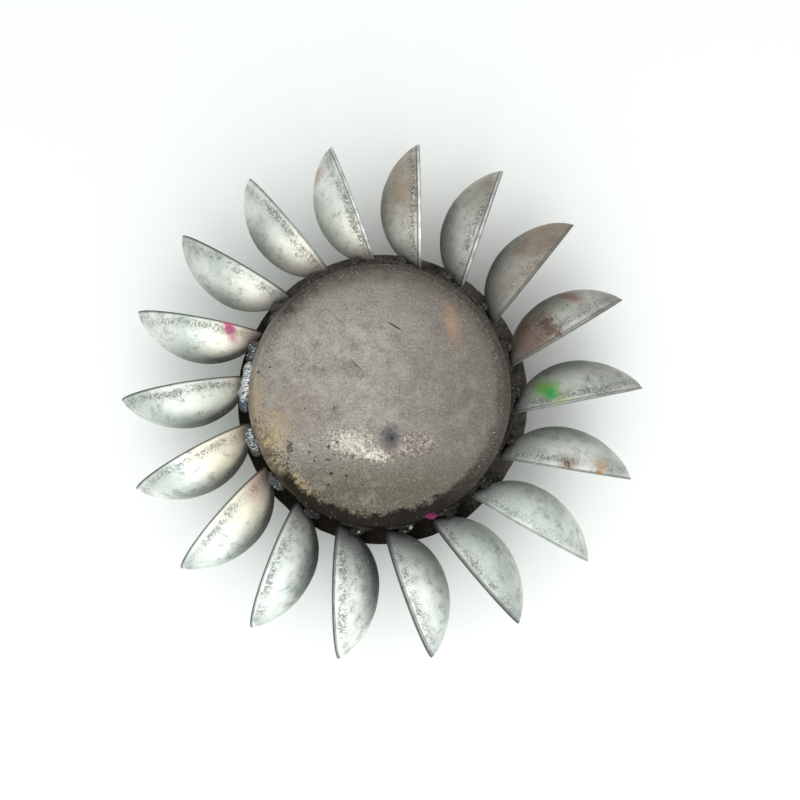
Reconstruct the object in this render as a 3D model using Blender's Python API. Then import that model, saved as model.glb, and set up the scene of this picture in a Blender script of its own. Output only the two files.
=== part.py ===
"""Impulse turbine runner: spoon-shaped buckets welded around a chamfered hub.

Run with: blender --background --python part.py
Units are metres, +Z is up. The runner lies on the face of its shaft boss, with its front face up.
Seen from above, the mouths of the buckets face clockwise.
"""

import math

import bmesh
import bpy
from mathutils import Vector

# Driving dimensions
BUCKET_COUNT = 18
FIRST_BUCKET_ANGLE = math.radians(91.0)
TIP_RADIUS = 0.200
MOUTH_OFFSET = 0.0338
ROOT_REACH = 0.0977
BUCKET_WIDTH = 0.0645
BUCKET_DEPTH = 0.0321
BUCKET_WALL = 0.0032

HUB_RADIUS = 0.098
FACE_RADIUS = 0.092
FACE_HEIGHT = 0.025
SHOULDER_HEIGHT = 0.016

DISC_RADIUS = 0.119
DISC_THICKNESS = 0.012
DISC_FRONT = -0.024

BOSS_RADIUS = 0.046
BOSS_LENGTH = 0.024
SHAFT_RADIUS = 0.020
KEY_WIDTH = 0.012
KEY_HEIGHT = 0.0033

# Gap that touching pieces keep, and the size of the weld beads
SEAT_GAP = 0.0003
ROOT_BEAD = 0.0047
CORNER_BEAD = 0.0034

# Shape of a bucket: rim outline, depth along its length, and how far the thick ends reach
RIM_POWER = 0.68
DEPTH_POWER = 0.75
DEPTH_SKEW = 0.906
END_WALL = 0.0045

# Fineness of the meshes
LENGTH_STEPS = 12
ARCH_STEPS = 8
TURNED_STEPS = 72
BEAD_SIDES = 8
BEAD_STEPS = 10

# Sizes that follow from the ones above
TIP_REACH = math.sqrt(TIP_RADIUS ** 2 - MOUTH_OFFSET ** 2)
DISC_BACK = DISC_FRONT - DISC_THICKNESS
BOSS_TOP = DISC_BACK - SEAT_GAP
BOSS_BOTTOM = BOSS_TOP - BOSS_LENGTH
ROW_HEIGHT = -BOSS_BOTTOM
EDGE_BREAK = 0.0010
CUT_MARGIN = 0.004


def clear_scene():
    """Remove every object, so that the script starts from an empty scene."""
    for old in list(bpy.data.objects):
        bpy.data.objects.remove(old, do_unlink=True)


def steel(name, colour, roughness, metallic):
    """A Principled material with one colour, given as linear red, green and blue."""
    material = bpy.data.materials.new(name)
    material.use_nodes = True
    shader = material.node_tree.nodes["Principled BSDF"]
    shader.inputs["Base Color"].default_value = (*colour, 1.0)
    shader.inputs["Roughness"].default_value = roughness
    shader.inputs["Metallic"].default_value = metallic
    material.diffuse_color = (*colour, 1.0)
    return material


def finished_mesh(bm, name, material):
    """Turn a bmesh into mesh data with outward normals and one material."""
    bmesh.ops.recalc_face_normals(bm, faces=bm.faces)
    mesh = bpy.data.meshes.new(name)
    bm.to_mesh(mesh)
    bm.free()
    mesh.materials.append(material)
    return mesh


def place(name, mesh, axis, turn=0.0):
    """Put a mesh in the scene as a child of the runner's axis, turned about it."""
    piece = bpy.data.objects.new(name, mesh)
    bpy.context.scene.collection.objects.link(piece)
    piece.parent = axis
    piece.rotation_euler.z = turn
    return piece


def turned_mesh(name, profile, material, closed):
    """Spin a profile of (radius, height) points about the axis."""
    bm = bmesh.new()
    points = [bm.verts.new((radius, 0.0, height)) for radius, height in profile]
    ends = points[1:] + points[:1] if closed else points[1:]
    edges = [bm.edges.new(pair) for pair in zip(points, ends)]
    bmesh.ops.spin(
        bm,
        geom=points + edges,
        cent=(0.0, 0.0, 0.0),
        axis=(0.0, 0.0, 1.0),
        angle=math.tau,
        steps=TURNED_STEPS,
    )
    bmesh.ops.remove_doubles(bm, verts=bm.verts, dist=0.00001)
    return finished_mesh(bm, name, material)


def bucket_point(along, arch, root, tip, half_width, depth):
    """A point of a cup: along runs 0 to 1 from root to tip, arch 0 to pi over the back.

    Local X points outward along the mouth, and the mouth faces -Y.
    """
    rim = (4.0 * along * (1.0 - along)) ** RIM_POWER
    skewed = along ** DEPTH_SKEW
    hollow = (4.0 * skewed * (1.0 - skewed)) ** DEPTH_POWER
    return Vector((
        root + (tip - root) * along,
        depth * hollow * math.sin(arch) - MOUTH_OFFSET,
        half_width * rim * math.cos(arch),
    ))


def outer_point(along, arch):
    """A point of the bucket's outer skin."""
    return bucket_point(along, arch, ROOT_REACH, TIP_REACH, BUCKET_WIDTH / 2, BUCKET_DEPTH)


def inner_point(along, arch):
    """A point of the bucket's inner skin, one wall inside the outer one."""
    return bucket_point(
        along,
        arch,
        ROOT_REACH + END_WALL,
        TIP_REACH - END_WALL,
        BUCKET_WIDTH / 2 - BUCKET_WALL,
        BUCKET_DEPTH - BUCKET_WALL,
    )


def skin_rows(bm, point):
    """Vertices of one skin: a root corner, rows over the back, and a tip corner."""
    rows = [[bm.verts.new(point(0.0, 0.0))]]
    for step in range(1, LENGTH_STEPS):
        along = 0.5 - 0.5 * math.cos(math.pi * step / LENGTH_STEPS)
        rows.append([
            bm.verts.new(point(along, math.pi * part / ARCH_STEPS))
            for part in range(ARCH_STEPS + 1)
        ])
    rows.append([bm.verts.new(point(1.0, 0.0))])
    return rows


def join_rows(bm, first, second):
    """Faces between two rows of vertices, either of which may be a single corner."""
    count = max(len(first), len(second)) - 1
    for part in range(count):
        corners = [
            first[min(part, len(first) - 1)],
            first[min(part + 1, len(first) - 1)],
            second[min(part + 1, len(second) - 1)],
            second[min(part, len(second) - 1)],
        ]
        bm.faces.new(list(dict.fromkeys(corners)))


def bucket_mesh(material):
    """One spoon bucket: an outer and an inner skin, joined by a flat rim around the mouth."""
    bm = bmesh.new()
    outer = skin_rows(bm, outer_point)
    inner = skin_rows(bm, inner_point)
    for skin in (outer, inner):
        for first, second in zip(skin, skin[1:]):
            join_rows(bm, first, second)
    for side in (0, -1):
        outer_rim = [row[side] for row in outer]
        inner_rim = [row[side] for row in inner]
        join_rows(bm, outer_rim, inner_rim)
    return finished_mesh(bm, "bucket", material)


def outward(along, arch):
    """Unit normal of the bucket's outer skin, from small steps along it and over it."""
    step = 0.0001
    here = outer_point(along, arch)
    lengthwise = outer_point(along + step, arch) - here
    across = outer_point(along, arch + step) - here
    normal = lengthwise.cross(across).normalized()
    middle = Vector((here.x, -MOUTH_OFFSET, 0.0))
    if normal.dot(here - middle) < 0.0:
        normal.negate()
    return normal


def bead_centre(arch):
    """Where a bead touches both the hub's side and the bucket's back, at one place over it."""
    clear = ROOT_BEAD + SEAT_GAP
    low = 0.0005
    high = 0.3
    for _ in range(40):
        along = (low + high) / 2
        centre = outer_point(along, arch) + clear * outward(along, arch)
        if math.hypot(centre.x, centre.y) < HUB_RADIUS + clear:
            low = along
        else:
            high = along
    return centre


def root_bead_mesh(material):
    """The weld bead that wraps the root of a bucket, in the corner between cup and hub."""
    bm = bmesh.new()
    start = math.radians(6.0)
    arches = [start + (math.pi - 2 * start) * step / BEAD_STEPS for step in range(BEAD_STEPS + 1)]
    centres = [bead_centre(arch) for arch in arches]
    rings = []
    for index, centre in enumerate(centres):
        before = centres[max(index - 1, 0)]
        after = centres[min(index + 1, BEAD_STEPS)]
        along = (after - before).normalized()
        side = Vector((centre.x, centre.y, 0.0)).cross(along).normalized()
        up = along.cross(side)
        ring = []
        for part in range(BEAD_SIDES):
            turn = math.tau * part / BEAD_SIDES
            offset = side * math.cos(turn) + up * math.sin(turn)
            ring.append(bm.verts.new(centre + ROOT_BEAD * offset))
        rings.append(ring)
    for first, second in zip(rings, rings[1:]):
        join_rows(bm, first + first[:1], second + second[:1])
    for ring in (rings[0], rings[-1]):
        bm.faces.new(ring)
    return finished_mesh(bm, "bucket_weld", material)


def hub_profile():
    """Solid hub: flat front face, wide chamfer, straight side."""
    return [
        (0.0, FACE_HEIGHT),
        (FACE_RADIUS, FACE_HEIGHT),
        (HUB_RADIUS, SHOULDER_HEIGHT),
        (HUB_RADIUS, DISC_FRONT + SEAT_GAP),
        (0.0, DISC_FRONT + SEAT_GAP),
    ]


def disc_profile():
    """Flat disc behind the hub, with its outer edges broken."""
    return [
        (0.0, DISC_FRONT),
        (DISC_RADIUS - EDGE_BREAK, DISC_FRONT),
        (DISC_RADIUS, DISC_FRONT - EDGE_BREAK),
        (DISC_RADIUS, DISC_BACK + EDGE_BREAK),
        (DISC_RADIUS - EDGE_BREAK, DISC_BACK),
        (0.0, DISC_BACK),
    ]


def boss_profile():
    """Round boss that takes the shaft, with the edge of its free end broken."""
    return [
        (0.0, BOSS_TOP),
        (BOSS_RADIUS, BOSS_TOP),
        (BOSS_RADIUS, BOSS_BOTTOM + EDGE_BREAK),
        (BOSS_RADIUS - EDGE_BREAK, BOSS_BOTTOM),
        (0.0, BOSS_BOTTOM),
    ]


def corner_bead_profile(radius, height, turn):
    """Section of a bead in the corner between a side at a radius and a face at a height.

    turn is 1 where the bead lies above the face, -1 where it lies below.
    """
    inside = radius + SEAT_GAP
    level = height + turn * SEAT_GAP
    return [
        (inside, level),
        (inside + CORNER_BEAD, level),
        (inside + CORNER_BEAD * 0.72, level + turn * CORNER_BEAD * 0.72),
        (inside, level + turn * CORNER_BEAD),
    ]


def shaft_cutter(axis):
    """The shaft with its key, as a cutter for the boss and the disc."""
    bm = bmesh.new()
    low = BOSS_BOTTOM - CUT_MARGIN
    high = DISC_FRONT + CUT_MARGIN
    points = [bm.verts.new((radius, 0.0, height)) for radius, height in (
        (0.0, low),
        (SHAFT_RADIUS, low),
        (SHAFT_RADIUS, high),
        (0.0, high),
    )]
    edges = [bm.edges.new(pair) for pair in zip(points, points[1:])]
    bmesh.ops.spin(
        bm,
        geom=points + edges,
        cent=(0.0, 0.0, 0.0),
        axis=(0.0, 0.0, 1.0),
        angle=math.tau,
        steps=TURNED_STEPS // 2,
    )
    bmesh.ops.remove_doubles(bm, verts=bm.verts, dist=0.00001)
    bmesh.ops.recalc_face_normals(bm, faces=bm.faces)
    mesh = bpy.data.meshes.new("shaft_cutter")
    bm.to_mesh(mesh)
    bm.free()
    shaft = hidden_cutter("shaft_cutter", mesh, axis)

    key_mesh = bpy.data.meshes.new("key_cutter")
    bm = bmesh.new()
    bmesh.ops.create_cube(bm, size=1.0)
    reach = SHAFT_RADIUS + KEY_HEIGHT
    bmesh.ops.scale(bm, vec=(reach, KEY_WIDTH, high - low), verts=bm.verts)
    bmesh.ops.translate(bm, vec=(reach / 2, 0.0, (high + low) / 2), verts=bm.verts)
    bm.to_mesh(key_mesh)
    bm.free()
    key = hidden_cutter("key_cutter", key_mesh, axis)
    return shaft, key


def hidden_cutter(name, mesh, axis):
    """Place a mesh that only cuts: it is not rendered and shows as wire."""
    cutter = place(name, mesh, axis)
    cutter.hide_render = True
    cutter.display_type = "WIRE"
    return cutter


def cut(piece, cutters):
    """Cut each cutter out of a piece."""
    for cutter in cutters:
        modifier = piece.modifiers.new(cutter.name, "BOOLEAN")
        modifier.operation = "DIFFERENCE"
        modifier.solver = "EXACT"
        modifier.object = cutter


def build():
    """Make the whole runner."""
    clear_scene()
    bucket_steel = steel("bucket_steel", (0.36, 0.39, 0.36), 0.42, 0.85)
    hub_steel = steel("hub_steel", (0.22, 0.19, 0.16), 0.55, 0.80)
    weld_steel = steel("weld_steel", (0.10, 0.12, 0.13), 0.50, 0.85)

    axis = bpy.data.objects.new("runner_axis", None)
    axis.location.z = ROW_HEIGHT
    bpy.context.scene.collection.objects.link(axis)

    cup = bucket_mesh(bucket_steel)
    bead = root_bead_mesh(weld_steel)
    for number in range(BUCKET_COUNT):
        turn = FIRST_BUCKET_ANGLE - math.tau * number / BUCKET_COUNT
        place(f"bucket_{number + 1:02d}", cup, axis, turn)
        place(f"bucket_weld_{number + 1:02d}", bead, axis, turn)

    place("hub", turned_mesh("hub", hub_profile(), hub_steel, False), axis)
    disc = place("back_disc", turned_mesh("back_disc", disc_profile(), hub_steel, False), axis)
    boss = place("shaft_boss", turned_mesh("shaft_boss", boss_profile(), hub_steel, False), axis)
    cutters = shaft_cutter(axis)
    cut(disc, cutters)
    cut(boss, cutters)

    hub_bead = corner_bead_profile(HUB_RADIUS, DISC_FRONT, 1)
    place("hub_weld", turned_mesh("hub_weld", hub_bead, weld_steel, True), axis)
    boss_bead = corner_bead_profile(BOSS_RADIUS, DISC_BACK, -1)
    place("boss_weld", turned_mesh("boss_weld", boss_bead, weld_steel, True), axis)


build()
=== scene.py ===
# %% [markdown]
# # A welded impulse turbine runner
# A small hydro runner: cup-shaped buckets stand around a heavy round hub, and a jet of water
# pushes on them one after another. This notebook dresses the plain solids of the part. It keeps
# every size and place, and adds what the eye looks for: rolled rims, pits, weld ripples, scale.
# %% Load the part
import math
import random

import bmesh
import bpy
from mathutils import Matrix, Vector, noise


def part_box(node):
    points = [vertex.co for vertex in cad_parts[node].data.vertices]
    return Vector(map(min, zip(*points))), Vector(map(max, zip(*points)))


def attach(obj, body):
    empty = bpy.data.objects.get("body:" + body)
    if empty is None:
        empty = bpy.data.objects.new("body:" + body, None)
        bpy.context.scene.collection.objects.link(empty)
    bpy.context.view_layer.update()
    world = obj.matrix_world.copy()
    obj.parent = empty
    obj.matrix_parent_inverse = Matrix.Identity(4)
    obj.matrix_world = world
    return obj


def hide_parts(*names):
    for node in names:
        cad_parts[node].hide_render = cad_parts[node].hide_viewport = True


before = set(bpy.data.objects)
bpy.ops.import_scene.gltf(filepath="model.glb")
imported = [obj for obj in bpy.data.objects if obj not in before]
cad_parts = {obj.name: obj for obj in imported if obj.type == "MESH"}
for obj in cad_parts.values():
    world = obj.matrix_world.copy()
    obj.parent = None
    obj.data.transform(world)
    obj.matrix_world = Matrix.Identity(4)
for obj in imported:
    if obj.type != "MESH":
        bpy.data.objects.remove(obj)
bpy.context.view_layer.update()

# %% [markdown]
# ## Sizes
# Sizes are read from the solids where a box can tell them, so that the pieces fit. The rest, such
# as a bucket's curve, the hub's chamfer and the bore, is repeated here. All are in metres.
# %% Sizes
MM = 0.001
BUCKET_COUNT = 18
FIRST_BUCKET_ANGLE = math.radians(91.0)
TIP_RADIUS = 0.200
MOUTH_OFFSET = 0.0338
ROOT_REACH = 0.0977
TIP_REACH = math.sqrt(TIP_RADIUS ** 2 - MOUTH_OFFSET ** 2)
BUCKET_DEPTH = 0.0321
BUCKET_WALL = 0.0032
END_WALL = 0.0045
RIM_POWER = 0.68
DEPTH_POWER = 0.75
DEPTH_SKEW = 0.906

bucket_low, bucket_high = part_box("bucket_01")
hub_low, hub_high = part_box("hub")
disc_low, disc_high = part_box("back_disc")
boss_low, boss_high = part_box("shaft_boss")
MIDDLE = (bucket_low[2] + bucket_high[2]) / 2
HALF_WIDTH = (bucket_high[2] - bucket_low[2]) / 2
HUB_RADIUS = hub_high[0]
HUB_TOP = hub_high[2]
HUB_BOTTOM = hub_low[2]
FACE_RADIUS = HUB_RADIUS - 6.0 * MM
SHOULDER = MIDDLE + 16.0 * MM
DISC_RADIUS = disc_high[0]
BOSS_RADIUS = boss_high[0]
SHAFT_RADIUS = 20.0 * MM
KEY_WIDTH = 12.0 * MM
KEY_REACH = 23.3 * MM
print("middle of the buckets:", round(MIDDLE, 4), "half width:", round(HALF_WIDTH, 4))

# %% [markdown]
# ## The camera
# The photograph is taken from about arm's length with a phone, almost straight down the axis.
# The lens and the small tilts come from matching the edges of the buckets to the picture.
# %% Camera
LENS_PER_SENSOR = 578.0 / 800.0
CAMERA_DISTANCE = 0.445
CAMERA_ASIDE = Vector((15.4 * MM, -4.05 * MM, CAMERA_DISTANCE))
TILT_X = -0.067
TILT_Y = -0.024


def put_in_scene(name, data):
    """A new object with this data, at the origin."""
    thing = bpy.data.objects.new(name, data)
    bpy.context.scene.collection.objects.link(thing)
    return thing


tilt = Matrix.Rotation(TILT_Y, 3, "Y") @ Matrix.Rotation(TILT_X, 3, "X")
view_axes = tilt.transposed()
eye = view_axes @ CAMERA_ASIDE + Vector((0.0, 0.0, MIDDLE))
camera = put_in_scene("camera", bpy.data.cameras.new("camera"))
camera.data.sensor_width = 36.0
camera.data.lens = LENS_PER_SENSOR * camera.data.sensor_width
camera.matrix_world = Matrix.Translation(eye) @ view_axes.to_4x4()
bpy.context.scene.camera = camera
print("camera at", [round(value, 3) for value in eye], "lens", round(camera.data.lens, 1), "mm")

# %% [markdown]
# ## Colours and one helper for nodes
# Colours are given as sRGB hex values, and Blender works in linear light, so one function converts them.
# One more adds a node to any tree: its settings, its inputs, and its links.
# %% Helpers for colours and nodes


def linear(code):
    """Turn an sRGB hex value such as 8A8F8A into linear red, green, blue and alpha."""
    channels = [int(code[place:place + 2], 16) / 255.0 for place in (0, 2, 4)]
    light = [c / 12.92 if c <= 0.04045 else ((c + 0.055) / 1.055) ** 2.4 for c in channels]
    return (*light, 1.0)


def add(tree, kind, inputs=(), **settings):
    """Add a node. A value in inputs may be a number, a colour, a socket, or a node's first output."""
    node = tree.nodes.new(kind)
    for name, value in settings.items():
        setattr(node, name, value)
    sockets = [socket for socket in node.inputs if socket.enabled]
    pairs = inputs.items() if isinstance(inputs, dict) else enumerate(inputs)
    for key, value in pairs:
        if isinstance(key, int):
            socket = sockets[key]
        else:
            socket = next(item for item in sockets if item.name == key)
        if isinstance(value, bpy.types.Node):
            value = next(item for item in value.outputs if item.enabled)
        if isinstance(value, bpy.types.NodeSocket):
            tree.links.new(value, socket)
        else:
            socket.default_value = value
    return node


def per(size_mm):
    """The scale of a pattern on coordinates in metres, for features of this many millimetres."""
    return 1000.0 / size_mm


# %% [markdown]
# ## How a tree starts and ends
# A tree of Geometry Nodes works like a function: named inputs go in and a mesh comes out. Each
# tree declares its inputs with their defaults. Each tree of a piece ends in real geometry with a
# material, because the export drops instances.
# %% Helpers that start and end a tree
SOCKET_KINDS = {int: "NodeSocketInt", float: "NodeSocketFloat"}


def start_tree(name, inputs, output=("Geometry", "NodeSocketGeometry")):
    """A tree with one output. An input comes with its default, or else its kind of socket."""
    tree = bpy.data.node_groups.new(name, "GeometryNodeTree")
    for label, value in inputs.items():
        if isinstance(value, str):
            tree.interface.new_socket(label, in_out="INPUT", socket_type=value)
        else:
            kind = SOCKET_KINDS[type(value)]
            tree.interface.new_socket(label, in_out="INPUT", socket_type=kind).default_value = value
    tree.interface.new_socket(output[0], in_out="OUTPUT", socket_type=output[1])
    return tree, tree.nodes.new("NodeGroupInput").outputs


def end_tree(tree, geometry, material):
    """Close a tree with smooth, real geometry that has its material."""
    smooth = add(tree, "GeometryNodeSetShadeSmooth", {"Geometry": geometry, "Shade Smooth": True})
    real = add(tree, "GeometryNodeRealizeInstances", {"Geometry": smooth})
    finished = add(tree, "GeometryNodeSetMaterial", {"Geometry": real, "Material": material})
    add(tree, "NodeGroupOutput", [finished])
    print(tree.name, "nodes:", len(tree.nodes))


# %% [markdown]
# ## A rule for the cups
# Every bucket is the same pressed cup, and its skin follows a short rule: how far along it a point
# lies, and how far over the arch from the front rim to the back rim. That rule is a node group
# here, so the outer skin, the inner skin and the rim share it.
# %% Node group for one skin


def make_cup_surface():
    """Node group: a point of a cup from Along and Arch."""
    names = ("Along", "Arch", "Root", "Tip", "Half Width", "Depth")
    tree, given = start_tree("cup_surface", dict.fromkeys(names, 0.0), ("Point", "NodeSocketVector"))
    skewed = add(tree, "ShaderNodeMath", [given["Along"], DEPTH_SKEW], operation="POWER")

    # Both outlines are hills over the way from root to tip, and a power fills them out
    hills = []
    for way, power in ((given["Along"], RIM_POWER), (skewed, DEPTH_POWER)):
        rest = add(tree, "ShaderNodeMath", [1.0, way], operation="SUBTRACT")
        hill = add(tree, "ShaderNodeMath", [way, rest], operation="MULTIPLY")
        hill = add(tree, "ShaderNodeMath", [hill, 4.0], operation="MULTIPLY")
        hills.append(add(tree, "ShaderNodeMath", [hill, power], operation="POWER"))
    rim, hollow = hills
    rise = add(tree, "ShaderNodeMath", [given["Arch"]], operation="SINE")
    side = add(tree, "ShaderNodeMath", [given["Arch"]], operation="COSINE")
    depth = add(tree, "ShaderNodeMath", [given["Depth"], hollow], operation="MULTIPLY")
    width = add(tree, "ShaderNodeMath", [given["Half Width"], rim], operation="MULTIPLY")
    outward = add(tree, "ShaderNodeMapRange", [given["Along"], 0.0, 1.0, given["Root"], given["Tip"]])
    back = add(tree, "ShaderNodeMath", [depth, rise, -MOUTH_OFFSET], operation="MULTIPLY_ADD")
    level = add(tree, "ShaderNodeMath", [width, side], operation="MULTIPLY")
    point = add(tree, "ShaderNodeCombineXYZ", [outward, back, level])
    add(tree, "NodeGroupOutput", [point])
    return tree


cup_surface = make_cup_surface()
print("cup_surface nodes:", len(cup_surface.nodes))

# %% [markdown]
# ## A flat grid that knows its ways
# A flat grid will be bent into the cup. One direction runs from root to tip. The other goes over
# the outer skin, across the rim, back along the inner skin and across the other rim. Bending a
# grid was chosen over modelling by hand, because each point then knows where it lies on the cup,
# and the finish can use that.
# %% The grid of a bucket
SKIN_SHARE = 0.46
RIM_SHARE = 0.04
CROWDING = 0.11


def grid_ways(tree, given):
    """A flat grid, and for each point how far along, on which skin, and how far over the arch."""
    grid = add(tree, "GeometryNodeMeshGrid", {
        "Size X": 1.0,
        "Size Y": 1.0,
        "Vertices X": given["Length Steps"],
        "Vertices Y": given["Around Steps"],
    })
    flat = add(tree, "ShaderNodeSeparateXYZ", [add(tree, "GeometryNodeInputPosition")]).outputs

    # Along: 0 at the root, 1 at the tip, with the rows closer together near both
    angle = add(tree, "ShaderNodeMapRange", [flat["X"], -0.5, 0.5, 0.0, math.pi])
    swing = add(tree, "ShaderNodeMath", [angle], operation="COSINE")
    along = add(tree, "ShaderNodeMapRange", [swing, 1.0, -1.0, 0.0, 1.0])

    # Skin: 0 on the outer skin, 1 on the inner one, and between them across the rims
    around = add(tree, "ShaderNodeMath", [flat["Y"], 0.5], operation="ADD")
    go_in = add(tree, "ShaderNodeMapRange", [around, SKIN_SHARE, SKIN_SHARE + RIM_SHARE, 0.0, 1.0])
    come_out = add(tree, "ShaderNodeMapRange", [around, 1.0 - RIM_SHARE, 1.0, 0.0, 1.0])
    skin = add(tree, "ShaderNodeMath", [go_in, come_out], operation="SUBTRACT")

    # Arch: from one rim to the other and back, with the rows closer together near the rims
    over = add(tree, "ShaderNodeMapRange", [around, 0.0, SKIN_SHARE, 0.0, 1.0])
    back = add(tree, "ShaderNodeMapRange", [around, 0.5, 0.5 + SKIN_SHARE, 0.0, 1.0])
    way = add(tree, "ShaderNodeMath", [over, back], operation="SUBTRACT")
    wave = add(tree, "ShaderNodeMath", [way, math.tau], operation="MULTIPLY")
    wave = add(tree, "ShaderNodeMath", [wave], operation="SINE")
    way = add(tree, "ShaderNodeMath", [wave, -CROWDING, way], operation="MULTIPLY_ADD")
    arch = add(tree, "ShaderNodeMath", [way, math.pi], operation="MULTIPLY")
    return grid, along, skin, arch


# %% [markdown]
# ## The bucket tree
# The grid is bent over three skins: the lip, the body behind it, and the inside. Near the rim the
# outer skin keeps its full size, and behind that lip it steps in by half a millimetre. That gives
# the thin rolled lip that shows as a line in the photograph. Its width is an input, because it
# differs from cup to cup. Shallow dents come from a noise. Facts are kept on the points while the
# grid is still flat, for the dents and for the finish.
# %% Node group for a bucket
LIP_STEP = 0.5 * MM
DENT_SIZE_MM = 26.0
MERGE_DISTANCE = 0.02 * MM


def bend(tree, given, along, skin, arch):
    """Where a point goes, its gap behind the rim, and that gap as a share of the lip."""
    skins = []
    for inset, wall in ((0.0, 0.0), (LIP_STEP, LIP_STEP), (END_WALL, BUCKET_WALL)):
        skins.append(add(tree, "GeometryNodeGroup", {
            "Along": along,
            "Arch": arch,
            "Root": ROOT_REACH + inset,
            "Tip": TIP_REACH - inset,
            "Half Width": HALF_WIDTH - wall,
            "Depth": BUCKET_DEPTH - wall,
        }, node_tree=cup_surface))
    lip, body, inside = skins
    lip_place = add(tree, "ShaderNodeSeparateXYZ", [lip])
    rim_gap = add(tree, "ShaderNodeMath", [lip_place.outputs["Y"], MOUTH_OFFSET], operation="ADD")
    lip_share = add(tree, "ShaderNodeMath", [rim_gap, given["Lip Width"]], operation="DIVIDE")
    step = [lip_share, 1.0, 1.5, 0.0, 1.0]
    behind_lip = add(tree, "ShaderNodeMapRange", step, interpolation_type="SMOOTHSTEP")
    outer = add(tree, "ShaderNodeMix", {"Factor": behind_lip, "A": lip, "B": body}, data_type="VECTOR")
    shell = add(tree, "ShaderNodeMix", {"Factor": skin, "A": outer, "B": inside}, data_type="VECTOR")
    return shell, rim_gap, lip_share


def dent(tree, given, cup):
    """Shallow dents, always inwards, and none at the root, the tip or the rim."""
    waves = {"W": given["Dent Seed"], "Scale": per(DENT_SIZE_MM), "Detail": 2.0}
    hollows = add(tree, "ShaderNodeTexNoise", waves, noise_dimensions="4D")
    shallow = add(tree, "ShaderNodeMapRange", [hollows, 0.35, 0.75, 0.0, given["Dent Depth"]])
    rim_gap = add(tree, "GeometryNodeInputNamedAttribute", {"Name": "rim_gap"}, data_type="FLOAT")
    fade = add(tree, "ShaderNodeMapRange", [rim_gap, 3.0 * MM, 12.0 * MM, 0.0, -1.0])
    skin = add(tree, "GeometryNodeInputNamedAttribute", {"Name": "skin"}, data_type="FLOAT")
    only_outer = add(tree, "ShaderNodeMapRange", [skin, 0.0, 0.5, 1.0, 0.0])
    push = add(tree, "ShaderNodeMath", [shallow, fade], operation="MULTIPLY")
    push = add(tree, "ShaderNodeMath", [push, only_outer], operation="MULTIPLY")
    normal = add(tree, "GeometryNodeInputNormal")
    offset = add(tree, "ShaderNodeVectorMath", {"Vector": normal, "Scale": push}, operation="SCALE")
    return add(tree, "GeometryNodeSetPosition", {"Geometry": cup, "Offset": offset})


def make_bucket_tree():
    """Geometry Nodes: one bucket, turned to its place on the runner."""
    tree, given = start_tree("bucket_cup", {
        "Length Steps": 64,
        "Around Steps": 151,
        "Turn": 0.0,
        "Lip Width": 1.1 * MM,
        "Dent Seed": 0.0,
        "Dent Depth": 0.6 * MM,
        "Material": "NodeSocketMaterial",
    })
    grid, along, skin, arch = grid_ways(tree, given)
    shell, rim_gap, lip = bend(tree, given, along, skin, arch)
    facts = {"along": along, "rim_gap": rim_gap, "lip": lip, "skin": skin, "arch": arch}
    for name, value in facts.items():
        kept = {"Geometry": grid, "Name": name, "Value": value}
        grid = add(tree, "GeometryNodeStoreNamedAttribute", kept, data_type="FLOAT", domain="POINT")
    placed = add(tree, "GeometryNodeTransform", {
        "Geometry": add(tree, "GeometryNodeSetPosition", {"Geometry": grid, "Position": shell}),
        "Translation": (0.0, 0.0, MIDDLE),
        "Rotation": add(tree, "ShaderNodeCombineXYZ", [0.0, 0.0, given["Turn"]]),
    })
    closed = add(tree, "GeometryNodeMergeByDistance", {"Geometry": placed, "Distance": MERGE_DISTANCE})
    end_tree(tree, dent(tree, given, closed), given["Material"])
    return tree


bucket_cup = make_bucket_tree()

# %% [markdown]
# ## From a node tree to a plain mesh
# The frame needs plain meshes, so a tree is put on an object, its inputs are set, the result is
# copied out, and the modifier is removed. Normals are made to point outwards at the same time.
# %% Helpers that bake a tree


def outwards(mesh):
    """Point every face of a closed mesh outwards."""
    bm = bmesh.new()
    bm.from_mesh(mesh)
    bmesh.ops.recalc_face_normals(bm, faces=bm.faces)
    bm.to_mesh(mesh)
    bm.free()


def make_plain(piece):
    """Give a piece the mesh that its modifiers make, and remove them."""
    graph = bpy.context.evaluated_depsgraph_get()
    mesh = bpy.data.meshes.new_from_object(piece.evaluated_get(graph))
    piece.modifiers.clear()
    piece.data = mesh
    mesh.name = piece.name
    outwards(mesh)


def grow(name, tree, inputs, base=None):
    """Run a tree on a base mesh and give back an object with the plain result."""
    piece = put_in_scene(name, base or bpy.data.meshes.new(name))
    modifier = piece.modifiers.new("grow", "NODES")
    modifier.node_group = tree
    for item in tree.interface.items_tree:
        if item.in_out == "INPUT" and item.name in inputs:
            modifier[item.identifier] = inputs[item.name]
    make_plain(piece)
    return piece


# %% [markdown]
# ## How a finish starts and ends
# Every finish is painted in layers, as weather and work left them: each layer is a colour and a
# share between 0 and 1 that says how strongly it covers a point. A finish starts with the point's
# place in metres, its noises, and facts kept on the mesh. It ends in one shader. Round spots with
# a frayed edge come up in several finishes, so they have a helper too.
# %% Helpers that start and end a finish


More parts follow.
